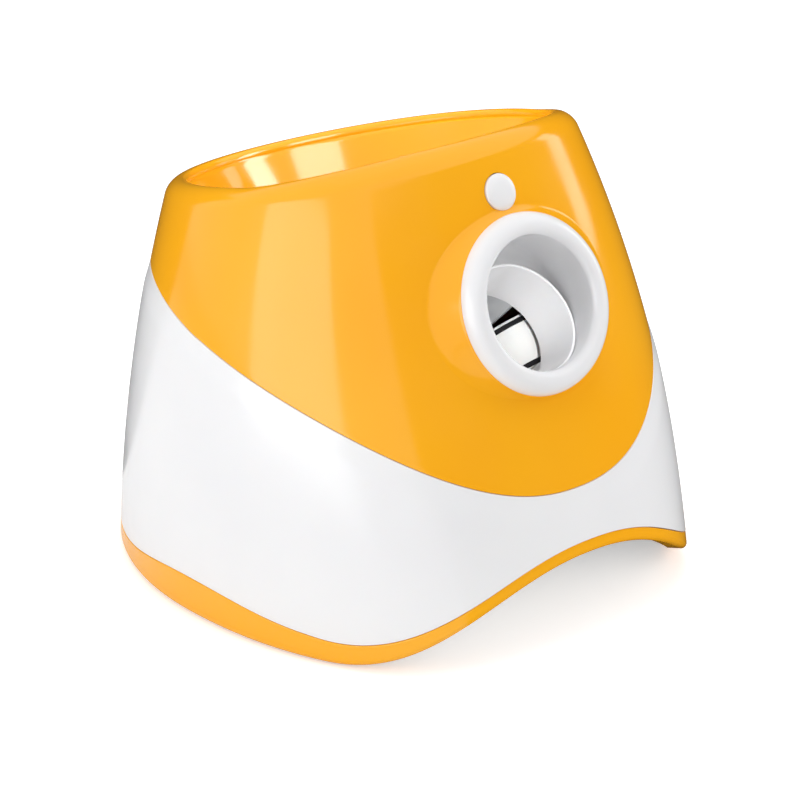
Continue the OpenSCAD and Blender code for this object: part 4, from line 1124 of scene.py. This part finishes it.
@dataclass(frozen=True)
class Studio:
    """Floor, world, lamps and camera.

    Attributes:
        floor_size: Side of the floor in metres.
        camera_target: The point in the middle of the picture, in metres.
        camera_back: Direction from there to the camera.
        camera_distance: How far the camera stands, in metres.
        lens: Focal length on a 36 mm sensor.
        room_light: Strength of the world for the rays that carry light.
        floor_glow: Strength of the floor's own light, for the camera alone.
        lamps: The lamps.
    """

    floor_size: float = 40.0
    camera_target: Triple = (0.00335, -0.0029, 0.0799)
    camera_back: Triple = (-0.6045, -0.6978, 0.3843)
    camera_distance: float = 1.691
    lens: float = 147.6
    room_light: float = 0.56
    floor_glow: float = 0.45
    lamps: tuple[SoftBox, ...] = (
        SoftBox("left_panel", (-1.47, -0.33, 0.35), (1.35, 1.3), 14.5, lights=False),
        SoftBox("left_fill", (-1.5, 0.25, 0.5), (0.8, 1.3), 8.0, reflected=False),
        SoftBox("right_strip", (1.4, -0.33, 0.52), (0.28, 0.6), 1.6, lights=False),
        SoftBox("right_fill", (1.5, -0.5, 0.6), (0.8, 0.8), 6.5, reflected=False),
        SoftBox("front_fill", (-0.3, -2.2, 1.3), (1.6, 1.2), 10.5, reflected=False),
        SoftBox("top", (0.0, 0.2, 2.0), (1.6, 1.6), 12.5, reflected=False),
        SoftBox("bowl_light", (-0.4, -0.3, 2.0), (1.2, 1.2), 10.0, reflected=False, only=("bowl",)),
        SoftBox("bowl_panel", (0.0, -1.82, 1.56), (1.3, 1.5), 58.0, lights=False, only=("bowl",)),
        SoftBox("bowl_strip", (1.57, -1.2, 1.1), (0.6, 1.2), 30.0, lights=False, only=("bowl",)),
    )

    def rays(self, tree: Tree) -> Socket:
        """1 for camera, glossy and transmission rays, 0 for the rays that carry light."""
        path = add_node(tree, "ShaderNodeLightPath")
        seen = path.outputs["Is Camera Ray"]
        for kind in ("Is Glossy Ray", "Is Transmission Ray"):
            seen = add_node(tree, "ShaderNodeMath", {0: seen, 1: path.outputs[kind]},
                            operation="MAXIMUM").outputs[0]
        return seen

    def light_world(self) -> None:
        """A white world to the eye that lights the launcher with less."""
        world = bpy.data.worlds.new("white_room")
        bpy.context.scene.world = world
        tree = fresh_tree(world)
        strength = add_node(tree, "ShaderNodeMapRange",
                            {"Value": self.rays(tree), "To Min": self.room_light, "To Max": 1.0})
        sky = add_node(tree, "ShaderNodeBackground",
                       {"Color": linear("FFFFFF"), "Strength": strength.outputs["Result"]})
        add_node(tree, "ShaderNodeOutputWorld", {"Surface": sky.outputs[0]})

    def lay_floor(self) -> None:
        """A white floor that keeps the shadow and looks white to the eye."""
        corners = np.array([(-1, -1, 0), (1, -1, 0), (1, 1, 0), (-1, 1, 0)]) * self.floor_size / 2
        floor = mesh_object("floor", corners, [(0, 1, 2, 3)])
        # Matt white studio paper.
        material = bpy.data.materials.new("white_floor")
        tree = fresh_tree(material)
        paper = add_node(tree, "ShaderNodeBsdfDiffuse", {"Color": linear("F4F4F4")})
        seen = add_node(tree, "ShaderNodeLightPath").outputs["Is Camera Ray"]
        strength = add_node(tree, "ShaderNodeMapRange",
                            {"Value": seen, "To Min": 0.0, "To Max": self.floor_glow})
        glow = add_node(tree, "ShaderNodeEmission",
                        {"Color": linear("FFFFFF"), "Strength": strength.outputs["Result"]})
        both = add_node(tree, "ShaderNodeAddShader", {0: paper.outputs[0], 1: glow.outputs[0]})
        add_node(tree, "ShaderNodeOutputMaterial", {"Surface": both.outputs[0]})
        floor.data.materials.append(material)

    def stand_camera(self) -> None:
        """Puts the camera at the photograph's viewing angle."""
        camera = bpy.data.cameras.new("camera")
        camera.lens, camera.sensor_width, camera.clip_end = self.lens, 36, 100
        stand = put_in_scene("camera", camera)
        back = Vector(self.camera_back).normalized()
        stand.location = Vector(self.camera_target) + back * self.camera_distance
        stand.rotation_euler = (-back).to_track_quat("-Z", "Y").to_euler()
        bpy.context.scene.camera = stand

    def build(self) -> None:
        """Sets up the whole studio."""
        bpy.context.scene.view_settings.view_transform = "Standard"
        self.light_world()
        self.lay_floor()
        for lamp in self.lamps:
            lamp.hang(self.camera_target)
        SnootedLamp().hang()
        BlackFlag().stand()
        self.stand_camera()


# ---------------------------------------------------------------- carried-over nodes


CARRIED_NODES: dict[Finish, str] = {
    TEXTURED_ABS: "base_plate battery_door",
    SATIN_PP: "launch_tube",
    FILLED_NYLON: "drive_frame feed_guide",
    ACETAL: "feed_plunger feed_pinion",
    GREY_RUBBER: "foot_pads throat_seal plunger_pad",
    PLATED_STEEL: "battery_springs battery_contacts left_motor_shaft right_motor_shaft pinion_shaft "
                  "inlet_nut motor_screws button_screws board_screws case_screws frame_screws",
    PLATED_CAN: "left_motor right_motor feed_gearmotor",
    CELL_JACKET: "battery_cells",
    SOLDER_MASK: "button_board control_board",
    BLACK_PLASTIC: "battery_tray ball_sensors button_switch board_parts buzzer power_inlet",
}


def smoothing_group() -> Tree:
    """Nodes that join a mesh's loose triangles and smooth it up to its sharp edges."""
    group = bpy.data.node_groups.new("smooth_up_to_edges", "GeometryNodeTree")
    for way in ("INPUT", "OUTPUT"):
        group.interface.new_socket("Geometry", in_out=way, socket_type="NodeSocketGeometry")
    start = add_node(group, "NodeGroupInput")
    joined = add_node(group, "GeometryNodeMergeByDistance",
                      {"Geometry": start.outputs[0], "Distance": CARRIED_MERGE})
    smooth = add_node(group, "GeometryNodeSetShadeSmooth",
                      {"Geometry": joined.outputs[0], "Shade Smooth": True})
    angle = add_node(group, "GeometryNodeInputMeshEdgeAngle")
    sharp = add_node(group, "FunctionNodeCompare",
                     {0: angle.outputs["Unsigned Angle"], 1: CARRIED_SHARP_ANGLE},
                     data_type="FLOAT", operation="GREATER_THAN")
    edged = add_node(group, "GeometryNodeSetShadeSmooth",
                     {"Geometry": smooth.outputs[0], "Selection": sharp.outputs[0], "Shade Smooth": False},
                     domain="EDGE")
    add_node(group, "NodeGroupOutput", {0: edged.outputs[0]})
    return group


def dress_carried_nodes() -> None:
    """Gives each carried-over CAD node its finish and smooth shading."""
    group = smoothing_group()
    for finish, names in CARRIED_NODES.items():
        for name in names.split():
            node = frame["nodes"][name]
            node.data.materials.clear()
            node.data.materials.append(finish.material())
            node.modifiers.new("smooth", "NODES").node_group = group
            log.info("%s: carried over, %s", name, finish.name)


# ---------------------------------------------------------------- assembly


def front_frame(outline: CaseOutline, height: float, tilt: float) -> TiltedFrame:
    """A frame on the middle line of the case's front, at a height in mm and with a tilt in degrees."""
    front = -float(outline.blend(outline.front_reaches, np.array(height)))
    return TiltedFrame((0.0, front, height), tilt)


def main() -> None:
    """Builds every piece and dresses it."""
    logging.basicConfig(level=logging.INFO, format="%(name)s: %(message)s")
    case = CaseWall()
    outline = case.seams.outline
    port_frame = front_frame(outline, PORT_HEIGHT, PORT_TILT)
    mouth = port_frame.place(np.array([0.0, -LAUNCH_UNDER, -LAUNCH_BEHIND]))
    launch = TiltedFrame(tuple(mouth.tolist()), LAUNCH_TILT)
    port = LaunchPort(outline, port_frame, launch)
    button = PushButton(front_frame(outline, BUTTON_HEIGHT, BUTTON_TILT))

    upper = cut(grid_object("upper_case", case.upper()), port.hole_cutter(), button.hole_cutter())
    dress(upper, AMBER_ABS, "housing", "yellow_abs", "upper_shell")
    dress(grid_object("port_collar", port.collar()), AMBER_ABS, "housing", "yellow_abs", "upper_shell")
    bowl = grid_object("bowl", HopperBowl(case, launch).surface())
    dress(bowl, AMBER_ABS, "housing", "yellow_abs", "hopper_bowl")
    dress(grid_object("lower_case", case.lower()), WHITE_ABS, "housing", "white_abs", "lower_shell")
    dress(grid_object("trim_edge", case.trim()), AMBER_ABS, "housing", "yellow_abs", "base_trim")

    ring = cut(grid_object("port_ring", port.ring()), port.muzzle_cutter())
    dress(ring, WHITE_ABS, "housing", "white_abs", "port_bezel")
    dress(grid_object("muzzle", port.muzzle()), WHITE_ABS, "housing", "white_abs", "muzzle_tube")
    dress(grid_object("button_cap", button.cap()), WHITE_ABS, "button_body", "white_abs", "front_button")
    for side, word in ((-1, "left"), (1, "right")):
        wheel = ThrowingWheel(launch, side)
        body = f"{word}_wheel_body"
        dress(grid_object(f"{word}_drum", wheel.drum()), ACETAL, body, "wheel_plastic", f"{word}_wheel")
        for level, height in ((1, "upper"), (-1, "lower")):
            band = grid_object(f"{word}_{height}_band", wheel.rubber(level))
            dress(band, BLACK_RUBBER, body, "band_rubber", f"{word}_wheel_bands")
    dress_carried_nodes()
    Studio().build()


if __name__ == "__main__":
    main()
